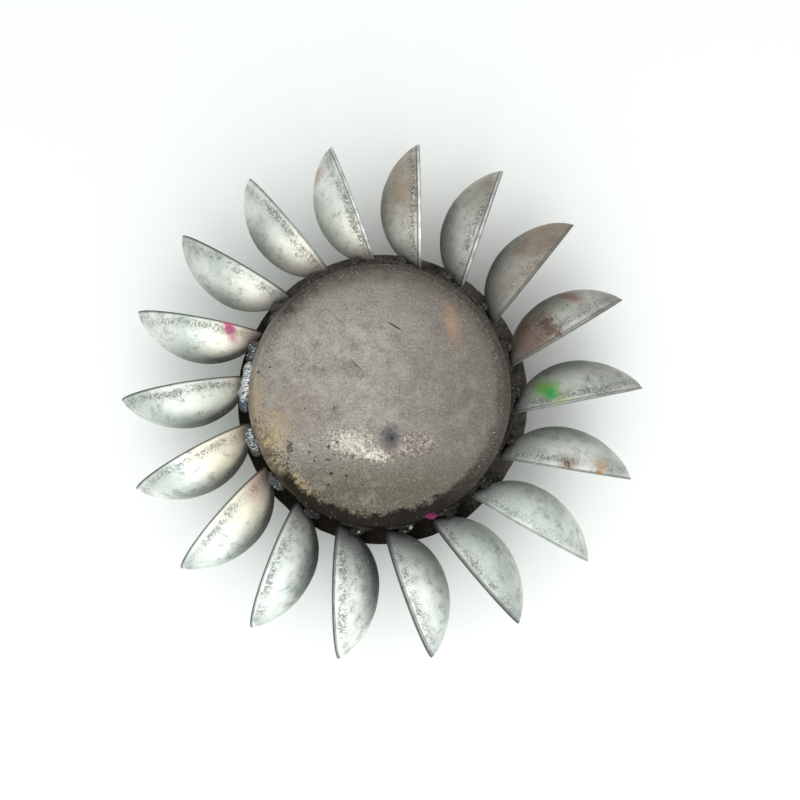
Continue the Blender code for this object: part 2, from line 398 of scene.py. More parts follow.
def start_finish(name, noises, facts=()):
    """A material, its tree, and by name what a layer can read. Noise sizes are in millimetres."""
    material = bpy.data.materials.new(name)
    material.use_nodes = True
    tree = material.node_tree
    tree.nodes.clear()
    place = add(tree, "ShaderNodeTexCoord").outputs["Object"]
    parts = add(tree, "ShaderNodeSeparateXYZ", [place]).outputs
    at = {axis: parts[axis] for axis in "XYZ"}
    for pattern, (size_mm, detail, roughness, distortion) in noises.items():
        at[pattern] = add(tree, "ShaderNodeTexNoise", {
            "Vector": place,
            "Scale": per(size_mm),
            "Detail": detail,
            "Roughness": roughness,
            "Distortion": distortion,
        })
    for fact in facts:
        at[fact] = add(tree, "ShaderNodeAttribute", attribute_name=fact).outputs["Fac"]
    return material, tree, at


def spot_share(tree, flat, centre, frays, edge, strength):
    """Share of a round spot whose edge is frayed by noises. All sizes are in millimetres."""
    spot = Vector((centre[0] * MM, centre[1] * MM, 0.0))
    away = add(tree, "ShaderNodeVectorMath", [flat, spot], operation="DISTANCE")
    for pattern, width in frays:
        away = add(tree, "ShaderNodeMath", [pattern, width * MM, away], operation="MULTIPLY_ADD")
    inner, outer = edge
    return add(tree, "ShaderNodeMapRange", [away, inner * MM, outer * MM, strength, 0.0])


def end_finish(material, base, layers, metal, rough, height, specular=0.5, tone=None):
    """Lay the colours over the base, add relief from a height in metres, and close the material."""
    tree = material.node_tree
    for share, colour in layers:
        base = add(tree, "ShaderNodeMix", {"Factor": share, "A": base, "B": colour}, data_type="RGBA")
    if tone is not None:
        grey = add(tree, "ShaderNodeCombineColor", [tone, tone, tone])
        toned = {"Factor": 1.0, "A": base, "B": grey}
        base = add(tree, "ShaderNodeMix", toned, data_type="RGBA", blend_type="MULTIPLY")
    shader = add(tree, "ShaderNodeBsdfPrincipled", {
        "Base Color": base,
        "Metallic": metal,
        "Roughness": rough,
        "Specular IOR Level": specular,
        "Normal": add(tree, "ShaderNodeBump", {"Height": height, "Strength": 1.0, "Distance": 1.0}),
    })
    add(tree, "ShaderNodeOutputMaterial", {"Surface": shader})
    print(material.name, "nodes:", len(tree.nodes))
    return material


# %% [markdown]
# ## Finish of the cups: satin pressed steel
# The cups are pressed from plate, pickled and left bare. The eye reads a soft silver with a faint
# green-grey cast, painted darker along the keel as shade. The next cells add film, heat colour, soot that
# is partly painted shade, a painted shadow under the keel, pits with painted highlights, a lip painted
# with highlight and shade, then stains and paint. Everything is worked out from the place on the cup, so
# it stays put in every view.
# %% Colours and noises of the cups
STEEL_LIGHT = linear("E5E8E3")
STEEL_MIDDLE = linear("C5CEC8")
STEEL_SHADE = linear("8B9791")
STEEL_KEEL = linear("5E6965")
STEEL_FILM = linear("988979")
PIT_DARK = linear("43474A")
# Painted highlight and painted shade for the lip, and highlight flecks among the pits
LIP_BRIGHT = linear("E6E7E3")
LIP_DULL = linear("4C504E")
LIP_LINE = linear("3E4240")
HEAT_STRAW = linear("ECE5CF")
HEAT_PINK = linear("D2B2A6")
SOOT = linear("3A3632")
OIL = linear("2A302F")

# Size in millimetres, detail, roughness, distortion. Real grain and powder are finer than a pixel
# of the picture, so they are drawn about one millimetre wide.
CUP_NOISES = {
    "clouds": (34.0, 4.0, 0.55, 0.0),
    "mottle": (9.0, 8.0, 0.70, 0.4),
    "grain": (1.4, 4.0, 0.75, 0.0),
    "powder": (0.9, 2.0, 0.70, 0.0),
}
CUP_SHAPE_FACTS = ("along", "rim_gap", "arch", "lip", "skin")
CUP_LOOK_FACTS = ("tone", "film", "heat_tint", "blush", "soot", "pitted", "bright_lip", "keel", "under")


def silver_layers(tree, at):
    """The silver itself, painted shade along the keel, and the brown film."""
    mottle, rim_gap = at["mottle"], at["rim_gap"]
    cloudy = add(tree, "ShaderNodeMapRange", [at["clouds"], 0.38, 0.64, 0.0, 1.0])
    mottled = add(tree, "ShaderNodeMapRange", [mottle, 0.50, 0.68, 0.0, 0.50])
    # Painted shade: darker towards the keel, by each cup's own amount
    keel = add(tree, "ShaderNodeMath", [mottle, 14.0 * MM, rim_gap], operation="MULTIPLY_ADD")
    keel = add(tree, "ShaderNodeMapRange", [keel, 26.0 * MM, 38.0 * MM, 0.0, 0.95])
    keel = add(tree, "ShaderNodeMath", [keel, at["keel"]], operation="MULTIPLY")

    # The film is heaviest towards the tip, and thinner along the keel
    film = add(tree, "ShaderNodeMath", [at["along"], 0.30, at["clouds"]], operation="MULTIPLY_ADD")
    film = add(tree, "ShaderNodeMapRange", [film, 0.48, 0.80, 0.50, 1.0])
    film = add(tree, "ShaderNodeMath", [film, at["film"]], operation="MULTIPLY")
    thinner = add(tree, "ShaderNodeMapRange", [rim_gap, 20.0 * MM, 29.0 * MM, 1.0, 0.5])
    film = add(tree, "ShaderNodeMath", [film, thinner], operation="MULTIPLY")
    return [(cloudy, STEEL_MIDDLE), (mottled, STEEL_SHADE), (keel, STEEL_KEEL), (film, STEEL_FILM)]


# %% [markdown]
# ## What welding left on the cups, and painted shadow
# Heat spreads out from the root and colours the bare steel: straw farthest out, pink-brown nearest. A
# painted shadow runs along the very bottom of the keel, out from the root. Soot lies at the root, and on
# the low cups it is partly painted shade of the hub. It creeps farther along the keel than beside the
# rim.
# %% Heat colours, oil and soot


def oil_share(tree, at):
    """Painted shadow along the bottom of the keel, from the root outwards."""
    below = add(tree, "ShaderNodeMath", [at["arch"]], operation="SINE")
    below = add(tree, "ShaderNodeMath", [at["mottle"], 0.10, below], operation="MULTIPLY_ADD")
    below = add(tree, "ShaderNodeMapRange", [below, 0.84, 0.99, 0.0, 1.0])
    near_root = add(tree, "ShaderNodeMapRange", [at["along"], 0.30, 0.72, 1.0, 0.0])
    below = add(tree, "ShaderNodeMath", [below, near_root], operation="MULTIPLY")
    return add(tree, "ShaderNodeMath", [below, at["under"]], operation="MULTIPLY")


def root_layers(tree, at, oily):
    """Straw, pink, the painted keel shadow, and soot that is partly painted shade, laid in this order."""
    spread = add(tree, "ShaderNodeMath", [at["clouds"], 0.35, at["along"]], operation="MULTIPLY_ADD")
    straw = add(tree, "ShaderNodeMapRange", [spread, 0.42, 0.68, 0.85, 0.0])
    straw = add(tree, "ShaderNodeMath", [straw, at["heat_tint"]], operation="MULTIPLY")
    pink = add(tree, "ShaderNodeMapRange", [spread, 0.27, 0.38, 0.85, 0.0])
    pink = add(tree, "ShaderNodeMath", [pink, at["blush"]], operation="MULTIPLY")
    # Soot at the root; on the low cups it is also painted shade of the hub
    creep = add(tree, "ShaderNodeMath", [at["rim_gap"], -9.0, spread], operation="MULTIPLY_ADD")
    sooty = add(tree, "ShaderNodeMapRange", [creep, 0.08, 0.45, 0.95, 0.0])
    sooty = add(tree, "ShaderNodeMath", [sooty, at["soot"]], operation="MULTIPLY")
    return [(straw, HEAT_STRAW), (pink, HEAT_PINK), (oily, OIL), (sooty, SOOT)]


# %% [markdown]
# ## Pits and the lip
# The press left a band of drag marks and pits beside the rim, and there are loose clusters
# elsewhere. Drag marks are short strokes across the rim, so their noise is stretched that way.
# Between the dark pits sit flecks of painted highlight, as if the pits had relief. The lip carries
# painted light: a highlight on some cups and shade on the others, a dark line of painted shade behind it,
# and a thinner painted shadow along its very edge on the cups with a highlight.
# %% Layers of the pits and the lip


def pit_layers(tree, at):
    """Dust, pits and painted highlights between them, and the share of the pits for gloss and relief."""
    mottle, rim_gap = at["mottle"], at["rim_gap"]
    length = add(tree, "ShaderNodeMath", [at["along"], TIP_REACH - ROOT_REACH], operation="MULTIPLY")
    across = add(tree, "ShaderNodeMath", [rim_gap, 0.5], operation="MULTIPLY")
    strokes = add(tree, "ShaderNodeTexNoise", {
        "Vector": add(tree, "ShaderNodeCombineXYZ", [length, across, at["pitted"]]),
        "Scale": per(1.1),
        "Detail": 6.0,
        "Roughness": 0.8,
    })

    # How thickly the pits lie: a broken band beside the rim, or else clusters
    gap = add(tree, "ShaderNodeMath", [at["clouds"], 10.0 * MM, rim_gap], operation="MULTIPLY_ADD")
    band_in = add(tree, "ShaderNodeMapRange", [gap, 7.0 * MM, 9.5 * MM, 0.0, 1.0])
    band_out = add(tree, "ShaderNodeMapRange", [gap, 12.5 * MM, 18.0 * MM, 1.0, 0.0])
    band = add(tree, "ShaderNodeMath", [band_in, band_out], operation="MULTIPLY")
    broken = add(tree, "ShaderNodeMapRange", [mottle, 0.38, 0.50, 0.55, 1.0])
    band = add(tree, "ShaderNodeMath", [band, broken], operation="MULTIPLY")
    cluster = add(tree, "ShaderNodeMapRange", [mottle, 0.52, 0.62, 0.0, 0.62])
    thick = add(tree, "ShaderNodeMath", [band, cluster], operation="MAXIMUM")
    thick = add(tree, "ShaderNodeMath", [thick, at["pitted"]], operation="MULTIPLY")

    # A pit is where the grain stands high, or a stroke inside the band
    dusty = add(tree, "ShaderNodeMapRange", [at["powder"], 0.45, 0.56, 0.0, 0.5])
    dusty = add(tree, "ShaderNodeMath", [dusty, thick], operation="MULTIPLY")
    needed = add(tree, "ShaderNodeMapRange", [thick, 0.0, 1.0, 0.66, 0.47])
    drawn = add(tree, "ShaderNodeMath", [band, 0.65], operation="MULTIPLY")
    marks = {"Factor": drawn, "A": at["grain"], "B": strokes}
    speck = add(tree, "ShaderNodeMix", marks, data_type="FLOAT")
    pits = add(tree, "ShaderNodeMath", [speck, needed], operation="SUBTRACT")
    pits = add(tree, "ShaderNodeMapRange", [pits, 0.0, 0.12, 0.0, 1.0])
    dark = add(tree, "ShaderNodeMath", [pits, 0.52], operation="MULTIPLY")
    # Painted highlights between the pits, where the grain stands low
    fresh = add(tree, "ShaderNodeMapRange", [speck, 0.47, 0.38, 0.0, 0.9])
    fresh = add(tree, "ShaderNodeMath", [fresh, thick], operation="MULTIPLY")
    return [(dusty, PIT_DARK), (dark, PIT_DARK), (fresh, LIP_BRIGHT)], pits


def lip_layers(tree, at):
    """Painted light on the lip: shade, a highlight, and two dark lines of painted shade."""
    lip = add(tree, "ShaderNodeMapRange", [at["lip"], 0.75, 1.0, 0.95, 0.0])
    rolled = add(tree, "ShaderNodeMapRange", [at["skin"], 0.02, 0.25, 1.0, 0.25])
    dull = add(tree, "ShaderNodeMath", [lip, rolled], operation="MULTIPLY")
    ground = add(tree, "ShaderNodeMapRange", [at["mottle"], 0.36, 0.60, 1.0, 0.55])
    ground = add(tree, "ShaderNodeMath", [ground, at["bright_lip"]], operation="MULTIPLY")
    bright = add(tree, "ShaderNodeMath", [lip, ground], operation="MULTIPLY")
    line_in = add(tree, "ShaderNodeMapRange", [at["lip"], 0.9, 1.05, 0.0, 1.0])
    line_out = add(tree, "ShaderNodeMapRange", [at["lip"], 1.25, 1.6, 0.6, 0.0])
    line = add(tree, "ShaderNodeMath", [line_in, line_out], operation="MULTIPLY")
    rim_line = add(tree, "ShaderNodeMapRange", [at["lip"], 0.10, 0.34, 0.6, 0.0])
    rim_line = add(tree, "ShaderNodeMath", [rim_line, at["bright_lip"]], operation="MULTIPLY")
    return [(dull, LIP_DULL), (bright, LIP_BRIGHT), (line, LIP_LINE), (rim_line, LIP_LINE)]


# %% [markdown]
# ## Stains and dabs of paint
# A fitter marked two cups with paint, pink on one and green on another, and rust and brown film
# settled in patches. Such things have a place and no pattern, so they are a list: each is a round
# spot, seen from the front, and the noises fray its edge.
# %% Stains of the cups
FILM_ROSE = linear("8C766A")
ROSE_STAIN = linear("A98A7E")
PAINT_PINK = linear("B23572")
PAINT_GREEN = linear("66B03A")
PAINT_EMERALD = linear("2FA45C")
PAINT_LIME = linear("93A541")
RUST = linear("8F4A22")
RUST_DARK = linear("5C4436")
RUST_PALE = linear("D0AE84")
RUST_GOLD = linear("B07C34")

# Centre and reach in millimetres, how ragged the edge is as a share of the reach, how soft it is
# in millimetres, strength, colour
CUP_STAINS = [
    ((-111.0, 51.0), 5.0, 1.2, 3.0, 0.80, PAINT_PINK),
    ((-110.5, 46.0), 5.0, 1.2, 3.0, 0.80, PAINT_PINK),
    ((-109.5, 40.5), 4.0, 1.2, 4.0, 0.60, PAINT_PINK),
    ((116.0, 7.0), 6.0, 2.0, 5.0, 0.55, PAINT_LIME),
    ((132.0, -5.0), 6.0, 2.0, 6.0, 0.45, PAINT_LIME),
    ((123.5, 2.5), 10.0, 2.0, 7.0, 0.85, PAINT_GREEN),
    ((125.0, -1.0), 6.0, 2.0, 5.0, 0.80, PAINT_EMERALD),
    ((134.5, -51.5), 9.0, 2.0, 7.0, 0.55, ROSE_STAIN),
    ((134.5, -51.5), 4.5, 6.0, 3.0, 0.90, RUST_DARK),
    ((160.0, -52.0), 7.0, 2.0, 5.0, 0.60, RUST_PALE),
    ((156.0, -57.0), 2.5, 3.0, 2.0, 0.80, RUST_GOLD),
    ((-49.0, 167.0), 10.0, 1.2, 6.0, 0.60, ROSE_STAIN),
    ((112.0, 42.0), 24.0, 1.2, 12.0, 0.80, FILM_ROSE),
    ((123.0, 46.0), 9.0, 7.0, 5.0, 0.65, RUST_DARK),
    ((104.0, 46.0), 10.0, 5.0, 8.0, 0.40, RUST_DARK),
    ((143.0, 71.0), 7.0, 4.0, 6.0, 0.60, RUST),
    ((134.0, 60.0), 7.0, 2.0, 6.0, 0.22, PAINT_GREEN),
    ((79.0, 156.0), 9.0, 1.5, 9.0, 0.55, FILM_ROSE),
]


def stain_layers(tree, at):
    """The stains, only on the front half of the outer skin."""
    flat = add(tree, "ShaderNodeCombineXYZ", [at["X"], at["Y"], 0.0])
    front = add(tree, "ShaderNodeMapRange", [at["Z"], MIDDLE, MIDDLE + 9.0 * MM, 0.0, 1.0])
    outside = add(tree, "ShaderNodeMapRange", [at["skin"], 0.0, 0.6, 1.0, 0.0])
    front = add(tree, "ShaderNodeMath", [front, outside], operation="MULTIPLY")
    layers = []
    for centre, reach, ragged, soft, strength, colour in CUP_STAINS:
        fray = ragged * reach
        frays = [(at["mottle"], fray), (at["grain"], fray)]
        share = spot_share(tree, flat, centre, frays, (reach + fray - soft, reach + fray), strength)
        layers.append((add(tree, "ShaderNodeMath", [share, front], operation="MULTIPLY"), colour))
    return layers


# %% [markdown]
# ## The cups' finish put together
# The layers go on in the order in which they came. Satin steel is rougher in its pits and under film, and
# it is also made matt and less metallic under the painted keel shadow. Pits go in, and the pressed skin
# is slightly uneven: that is too small to model, so it is left to a bump.
# %% Material of the cups


def make_cup_finish():
    """Satin pressed steel, read from the cup's own facts."""
    facts = CUP_SHAPE_FACTS + CUP_LOOK_FACTS
    material, tree, at = start_finish("satin_pressed_steel", CUP_NOISES, facts)
    oily = oil_share(tree, at)
    pitted, pits = pit_layers(tree, at)
    layers = silver_layers(tree, at) + root_layers(tree, at, oily) + pitted
    layers += lip_layers(tree, at) + stain_layers(tree, at)
    rough = add(tree, "ShaderNodeMapRange", [at["mottle"], 0.3, 0.7, 0.55, 0.66])
    for share, more in ((pits, 0.20), (at["film"], 0.08), (oily, 0.20)):
        rough = add(tree, "ShaderNodeMath", [share, more, rough], operation="MULTIPLY_ADD")
    metal = add(tree, "ShaderNodeMapRange", [pits, 0.0, 1.0, 0.82, 0.5])
    metal = add(tree, "ShaderNodeMath", [oily, -0.80, metal], operation="MULTIPLY_ADD", use_clamp=True)
    height = add(tree, "ShaderNodeMath", [pits, -0.25 * MM], operation="MULTIPLY")
    height = add(tree, "ShaderNodeMath", [at["mottle"], 0.35 * MM, height], operation="MULTIPLY_ADD")
    return end_finish(material, STEEL_LIGHT, layers, metal, rough, height, tone=at["tone"])


cup_finish = make_cup_finish()

# %% [markdown]
# ## Eighteen cups, no two quite alike
# The cups share a shape but not a history. Each gets a tone, a film, heat colour, soot and a lip of its
# own, listed in the table from the photograph. Only how thickly it is pitted comes from a seeded random
# number, where the table doesn't name it.
# %% Make the cups
chance = random.Random(7)
LOW_CUPS = range(10, 16)
# The tone is partly the cup's own steel and partly painted light: cups on the upper right are set darker
# as shaded, lit ones lighter
CUP_LOOKS = {
    1: {"tone": 1.06, "film": 0.90, "pitted": 1.0, "bright_lip": 1.0, "keel": 0.6, "lip_width": 2.4},
    2: {"tone": 0.86, "film": 0.62, "soot": 0.4, "bright_lip": 1.0, "keel": 0.5, "lip_width": 2.3},
    3: {"tone": 0.86, "film": 0.95, "soot": 0.6, "pitted": 0.6, "bright_lip": 0.3, "keel": 0.6},
    4: {"tone": 0.79, "film": 0.55, "soot": 0.3, "bright_lip": 0.55, "keel": 0.5, "lip_width": 1.5},
    5: {"tone": 0.86, "film": 0.35, "soot": 0.4, "bright_lip": 0.6, "keel": 0.5, "lip_width": 1.3},
    6: {"tone": 0.92, "film": 0.25, "soot": 0.4, "bright_lip": 0.5, "keel": 0.3},
    7: {"tone": 1.12, "film": 0.05, "soot": 0.4, "pitted": 0.8, "bright_lip": 0.6, "keel": 0.0},
    8: {"tone": 0.98, "film": 0.02, "soot": 0.35, "keel": 0.0, "under": 0.1, "lip_width": 1.9},
    9: {"tone": 1.11, "film": 0.02, "soot": 0.75, "keel": 0.3, "lip_width": 2.2},
    10: {"tone": 1.03, "film": 0.02, "soot": 0.80, "keel": 0.9, "lip_width": 1.6},
    11: {"tone": 1.08, "film": 0.02, "soot": 0.45, "keel": 0.9, "heat_tint": 0.1, "lip_width": 1.3},
    12: {"tone": 1.08, "film": 0.0, "heat_tint": 1.0, "keel": 0.5},
    13: {"tone": 1.10, "film": 0.0, "heat_tint": 1.0, "blush": 0.35, "keel": 0.5},
    14: {"tone": 1.02, "film": 0.0, "heat_tint": 0.35, "keel": 0.0},
    15: {"tone": 1.08, "film": 0.0, "heat_tint": 0.75, "keel": 0.1},
    16: {"tone": 1.00, "heat_tint": 0.30, "keel": 0.2},
    17: {"tone": 0.97, "film": 0.1, "heat_tint": 0.55, "bright_lip": 0.4, "keel": 0.5},
    18: {"tone": 1.08, "film": 0.20, "heat_tint": 0.40, "bright_lip": 0.9, "keel": 0.0, "lip_width": 2.1},
}


def bucket_angle(number):
    """Where a bucket stands, counted clockwise from the top one."""
    return FIRST_BUCKET_ANGLE - math.tau * (number - 1) / BUCKET_COUNT


def set_fact(mesh, name, value):
    """Store one number on every point of a mesh."""
    layer = mesh.attributes.new(name, "FLOAT", "POINT")
    layer.data.foreach_set("value", [value] * len(mesh.vertices))


def make_cup(number):
    """One dressed bucket, in place of its solid."""
    look = {"film": 0.1, "heat_tint": 0.0, "soot": 0.0, "bright_lip": 0.0, "lip_width": 1.1}
    # The low cups get a stronger painted shadow under the keel
    look["under"] = 0.9 if number in LOW_CUPS else 0.35
    look["pitted"] = chance.uniform(0.85, 1.05)
    look.update(CUP_LOOKS[number])
    look.setdefault("blush", 0.8 * look["heat_tint"])
    cup = grow(f"cup_{number:02d}", bucket_cup, {
        "Turn": bucket_angle(number),
        "Lip Width": look["lip_width"] * MM,
        "Dent Seed": float(number),
        "Material": cup_finish,
    })
    for name in CUP_LOOK_FACTS:
        set_fact(cup.data, name, look[name])
    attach(cup, "root")
    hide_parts(f"bucket_{number:02d}")
    return cup


cups = [make_cup(number) for number in range(1, BUCKET_COUNT + 1)]
print("cups:", len(cups), "faces each:", len(cups[0].data.polygons))

# %% [markdown]
# ## The weld tree
# A hand-laid bead is a row of overlapping puddles. The tree turns any path into such a bead: the
# path is resampled, and a round section that tapers at its ends runs along it. Then the skin is
# pushed in and out in crescents a few millimetres apart. Their phase runs along the bead and lags
# towards its sides, a slow noise bends them and lumps break them up. Each point keeps its place
# in its ripple and along the bead, for the finish.
# %% Node group for a weld bead
RIPPLE_LAG = 0.8
RIPPLE_BEND = 5.0
BEND_SIZE_MM = 7.0
LUMP_SIZE_MM = 2.6
SWELL = 1.9 * MM
SWELL_LOSS = 4.0 * MM


def bead_tube(tree, given):
    """A tapered tube on the path, and each point's length, share along it and share around it."""
    curve = add(tree, "GeometryNodeMeshToCurve", {"Mesh": given["Path"]})
    even = {"Curve": curve, "Length": given["Step"]}
    even = add(tree, "GeometryNodeResampleCurve", even, mode="LENGTH")
    ring = {"Resolution": given["Sides"], "Radius": 1.0}
    ring = add(tree, "GeometryNodeCurvePrimitiveCircle", ring, mode="RADIUS")
    share = add(tree, "GeometryNodeSplineParameter").outputs["Factor"]
    near_end = add(tree, "ShaderNodeMath", [share, 0.5], operation="SUBTRACT")
    near_end = add(tree, "ShaderNodeMath", [near_end], operation="ABSOLUTE")
    inner_end = add(tree, "ShaderNodeMath", [0.5, given["End Taper"]], operation="SUBTRACT")
    taper = add(tree, "ShaderNodeMapRange", {"Value": near_end, "From Min": inner_end, "From Max": 0.5})
    taper = add(tree, "ShaderNodeMath", [taper, taper], operation="MULTIPLY")
    taper = add(tree, "ShaderNodeMath", [1.0, taper], operation="SUBTRACT")
    taper = add(tree, "ShaderNodeMath", [taper, 0.02], operation="MAXIMUM")
    taper = add(tree, "ShaderNodeMath", [taper, 0.5], operation="POWER")

    # The ways along the path and around the section are lost in a mesh, so they are kept first
    kept = []
    for line, names in ((even, ("Length", "Factor")), (ring, ("Factor",))):
        ways = add(tree, "GeometryNodeSplineParameter").outputs
        kept.append(add(tree, "GeometryNodeCaptureAttribute", {"Geometry": line}, domain="POINT"))
        for name in names:
            kept[-1].capture_items.new("FLOAT", name)
            tree.links.new(ways[name], kept[-1].inputs[name])
    path, section = [node.outputs for node in kept]
    tube = add(tree, "GeometryNodeCurveToMesh", {
        "Curve": path["Geometry"],
        "Profile Curve": section["Geometry"],
        "Scale": add(tree, "ShaderNodeMath", [taper, given["Radius"]], operation="MULTIPLY"),
        "Fill Caps": True,
    })
    return tube, path["Length"], path["Factor"], section["Factor"]


def ripple(tree, given, tube, length, around):
    """The tube pushed into crescents and lumps, and each point's place in its crescent."""
    sideways = add(tree, "ShaderNodeMath", [around, 2.0 * math.tau], operation="MULTIPLY")
    sideways = add(tree, "ShaderNodeMath", [sideways], operation="COSINE")
    slow = {"W": given["Seed"], "Scale": per(BEND_SIZE_MM), "Detail": 2.0}
    slow = add(tree, "ShaderNodeTexNoise", slow, noise_dimensions="4D")
    lumps = {"W": given["Seed"], "Scale": per(LUMP_SIZE_MM), "Detail": 1.0}
    lumps = add(tree, "ShaderNodeTexNoise", lumps, noise_dimensions="4D")
    phase = add(tree, "ShaderNodeMath", [length, given["Ripple Pitch"]], operation="DIVIDE")
    phase = add(tree, "ShaderNodeMath", [sideways, RIPPLE_LAG, phase], operation="MULTIPLY_ADD")
    phase = add(tree, "ShaderNodeMath", [slow, RIPPLE_BEND, phase], operation="MULTIPLY_ADD")
    saw = add(tree, "ShaderNodeMath", [phase], operation="FRACT")
    dip = add(tree, "ShaderNodeMath", [saw, saw], operation="MULTIPLY")
    dip = add(tree, "ShaderNodeMath", [dip, given["Ripple Depth"]], operation="MULTIPLY")
    dip = add(tree, "ShaderNodeMath", [slow, SWELL_LOSS, dip], operation="MULTIPLY_ADD")
    dip = add(tree, "ShaderNodeMath", [lumps, given["Lumps"], dip], operation="MULTIPLY_ADD")
    push = add(tree, "ShaderNodeMath", [SWELL, dip], operation="SUBTRACT")
    normal = add(tree, "GeometryNodeInputNormal")
    offset = add(tree, "ShaderNodeVectorMath", {"Vector": normal, "Scale": push}, operation="SCALE")
    return add(tree, "GeometryNodeSetPosition", {"Geometry": tube, "Offset": offset}), saw


def make_weld_tree():
    """Geometry Nodes: a rippled weld bead along the edges of the base mesh."""
    tree, given = start_tree("weld_bead", {
        "Path": "NodeSocketGeometry",
        "Radius": 4.0 * MM,
        "Step": 0.6 * MM,
        "Ripple Pitch": 2.4 * MM,
        "Ripple Depth": 0.35 * MM,
        "Lumps": 0.0,
        "End Taper": 0.10,
        "Sides": 20,
        "Seed": 0.0,
        "Material": "NodeSocketMaterial",
    })
    tube, length, run, around = bead_tube(tree, given)
    bead, saw = ripple(tree, given, tube, length, around)
    for name, value in (("ripple", saw), ("run", run)):
        kept = {"Geometry": bead, "Name": name, "Value": value}
        bead = add(tree, "GeometryNodeStoreNamedAttribute", kept, data_type="FLOAT", domain="POINT")
    end_tree(tree, bead, given["Material"])
    return tree


weld_bead = make_weld_tree()

# %% [markdown]
# ## Finish of the welds
# A bead cools under a thin dark oxide: purple where it starts, brown in patches, and blue low on the
# left, where the runner was kept clean. Brushed beads carry painted highlights: glints on their crests
# and where their grain stands high. The others are crusted with soot, with painted shade that makes them
# black low down and grey-brown higher up, and pale dust on the knobs. Two small painted highlights sit on
# beads low on the part, and the pink dab on the hub runs over onto the bead beside it.
# %% Material of the welds
WELD_DARK = linear("34373A")
WELD_BLUE = linear("4B5862")
WELD_PURPLE = linear("463C48")
WELD_BRIGHT = linear("CDD2D2")
WELD_BROWN = linear("4B4138")
WELD_BLACK = linear("17130F")
WELD_CRUST = linear("36322E")
WELD_DUST = linear("7A746C")
PAINT_OLD_PINK = linear("7E2456")

# Places seen from the front, reaches and the two ends of a soft edge, all in millimetres
# Two painted highlights on beads low on the part
STOP_CRATERS = (((-14.6, -102.6), 1.0), ((24.2, -99.6), 2.0))
DAB_ON_BEAD = (38.5, -92.5)
DAB_ON_HUB = (38.5, -91.5)
DAB_EDGE = (6.5, 9.0)

# Size in millimetres, detail, roughness, distortion. The fine noise draws the painted glints about one
# millimetre wide, because real glints of brushed oxide are finer than a pixel of the picture.
WELD_NOISES = {
    "patches": (14.0, 4.0, 0.50, 0.0),
    "grain": (2.2, 5.0, 0.70, 0.0),
    "fine": (1.4, 4.0, 0.75, 0.0),
}


def glint_share(tree, at):
    """Painted highlights: glints, helped by a crest, and fewer at the dull end of a bead."""
    wake = add(tree, "ShaderNodeMapRange", [at["run"], 0.72, 0.86, 1.0, 0.2])
    wake = add(tree, "ShaderNodeMath", [wake, at["shine"]], operation="MULTIPLY")
    crest = add(tree, "ShaderNodeMapRange", [at["ripple"], 0.0, 0.6, 0.09, 0.0])
    worn = add(tree, "ShaderNodeMath", [at["fine"], crest], operation="ADD")
    needed = add(tree, "ShaderNodeMapRange", [wake, 0.1, 1.4, 0.66, 0.45])
    worn = add(tree, "ShaderNodeMath", [worn, needed], operation="SUBTRACT")
    return add(tree, "ShaderNodeMapRange", [worn, 0.0, 0.10, 0.0, 0.95])


def oxide_tints(tree, at):
    """Blue, brown and purple oxide."""
    shine = at["shine"]
    cool = add(tree, "ShaderNodeMapRange", [at["Y"], -25.0 * MM, 5.0 * MM, 1.0, 0.25])
    blue = add(tree, "ShaderNodeMapRange", [at["patches"], 0.44, 0.60, 0.0, cool])
    blue = add(tree, "ShaderNodeMath", [blue, shine], operation="MULTIPLY")
    brown = add(tree, "ShaderNodeMapRange", [at["patches"], 0.52, 0.40, 0.0, 0.6])
    purple = add(tree, "ShaderNodeMapRange", [at["run"], 0.12, 0.28, 0.7, 0.0])
    purple = add(tree, "ShaderNodeMath", [purple, shine], operation="MULTIPLY")
    return [(blue, WELD_BLUE), (brown, WELD_BROWN), (purple, WELD_PURPLE)]


def crust_layers(tree, at, sooty):
    """Soot with pale dust on its knobs and black in its hollows, and painted shade low down."""
    # Painted shade: the crust is black low down and grey-brown higher up
    upper = add(tree, "ShaderNodeMapRange", [at["Y"], -30.0 * MM, 60.0 * MM, 0.0, 1.0])
    crust = {"Factor": upper, "A": WELD_BLACK, "B": WELD_CRUST}
    crust = add(tree, "ShaderNodeMix", crust, data_type="RGBA")
    most = add(tree, "ShaderNodeMapRange", [upper, 0.0, 1.0, 0.08, 0.40])
    dusty = add(tree, "ShaderNodeMapRange", [at["grain"], 0.50, 0.60, 0.0, 1.0])
    dusty = add(tree, "ShaderNodeMath", [dusty, most], operation="MULTIPLY")
    dusty = add(tree, "ShaderNodeMath", [dusty, sooty], operation="MULTIPLY")
    hollow = add(tree, "ShaderNodeMapRange", [at["grain"], 0.49, 0.40, 0.0, 0.9])
    hollow = add(tree, "ShaderNodeMath", [hollow, sooty], operation="MULTIPLY")
    return [(sooty, crust), (dusty, WELD_DUST), (hollow, WELD_BLACK)]


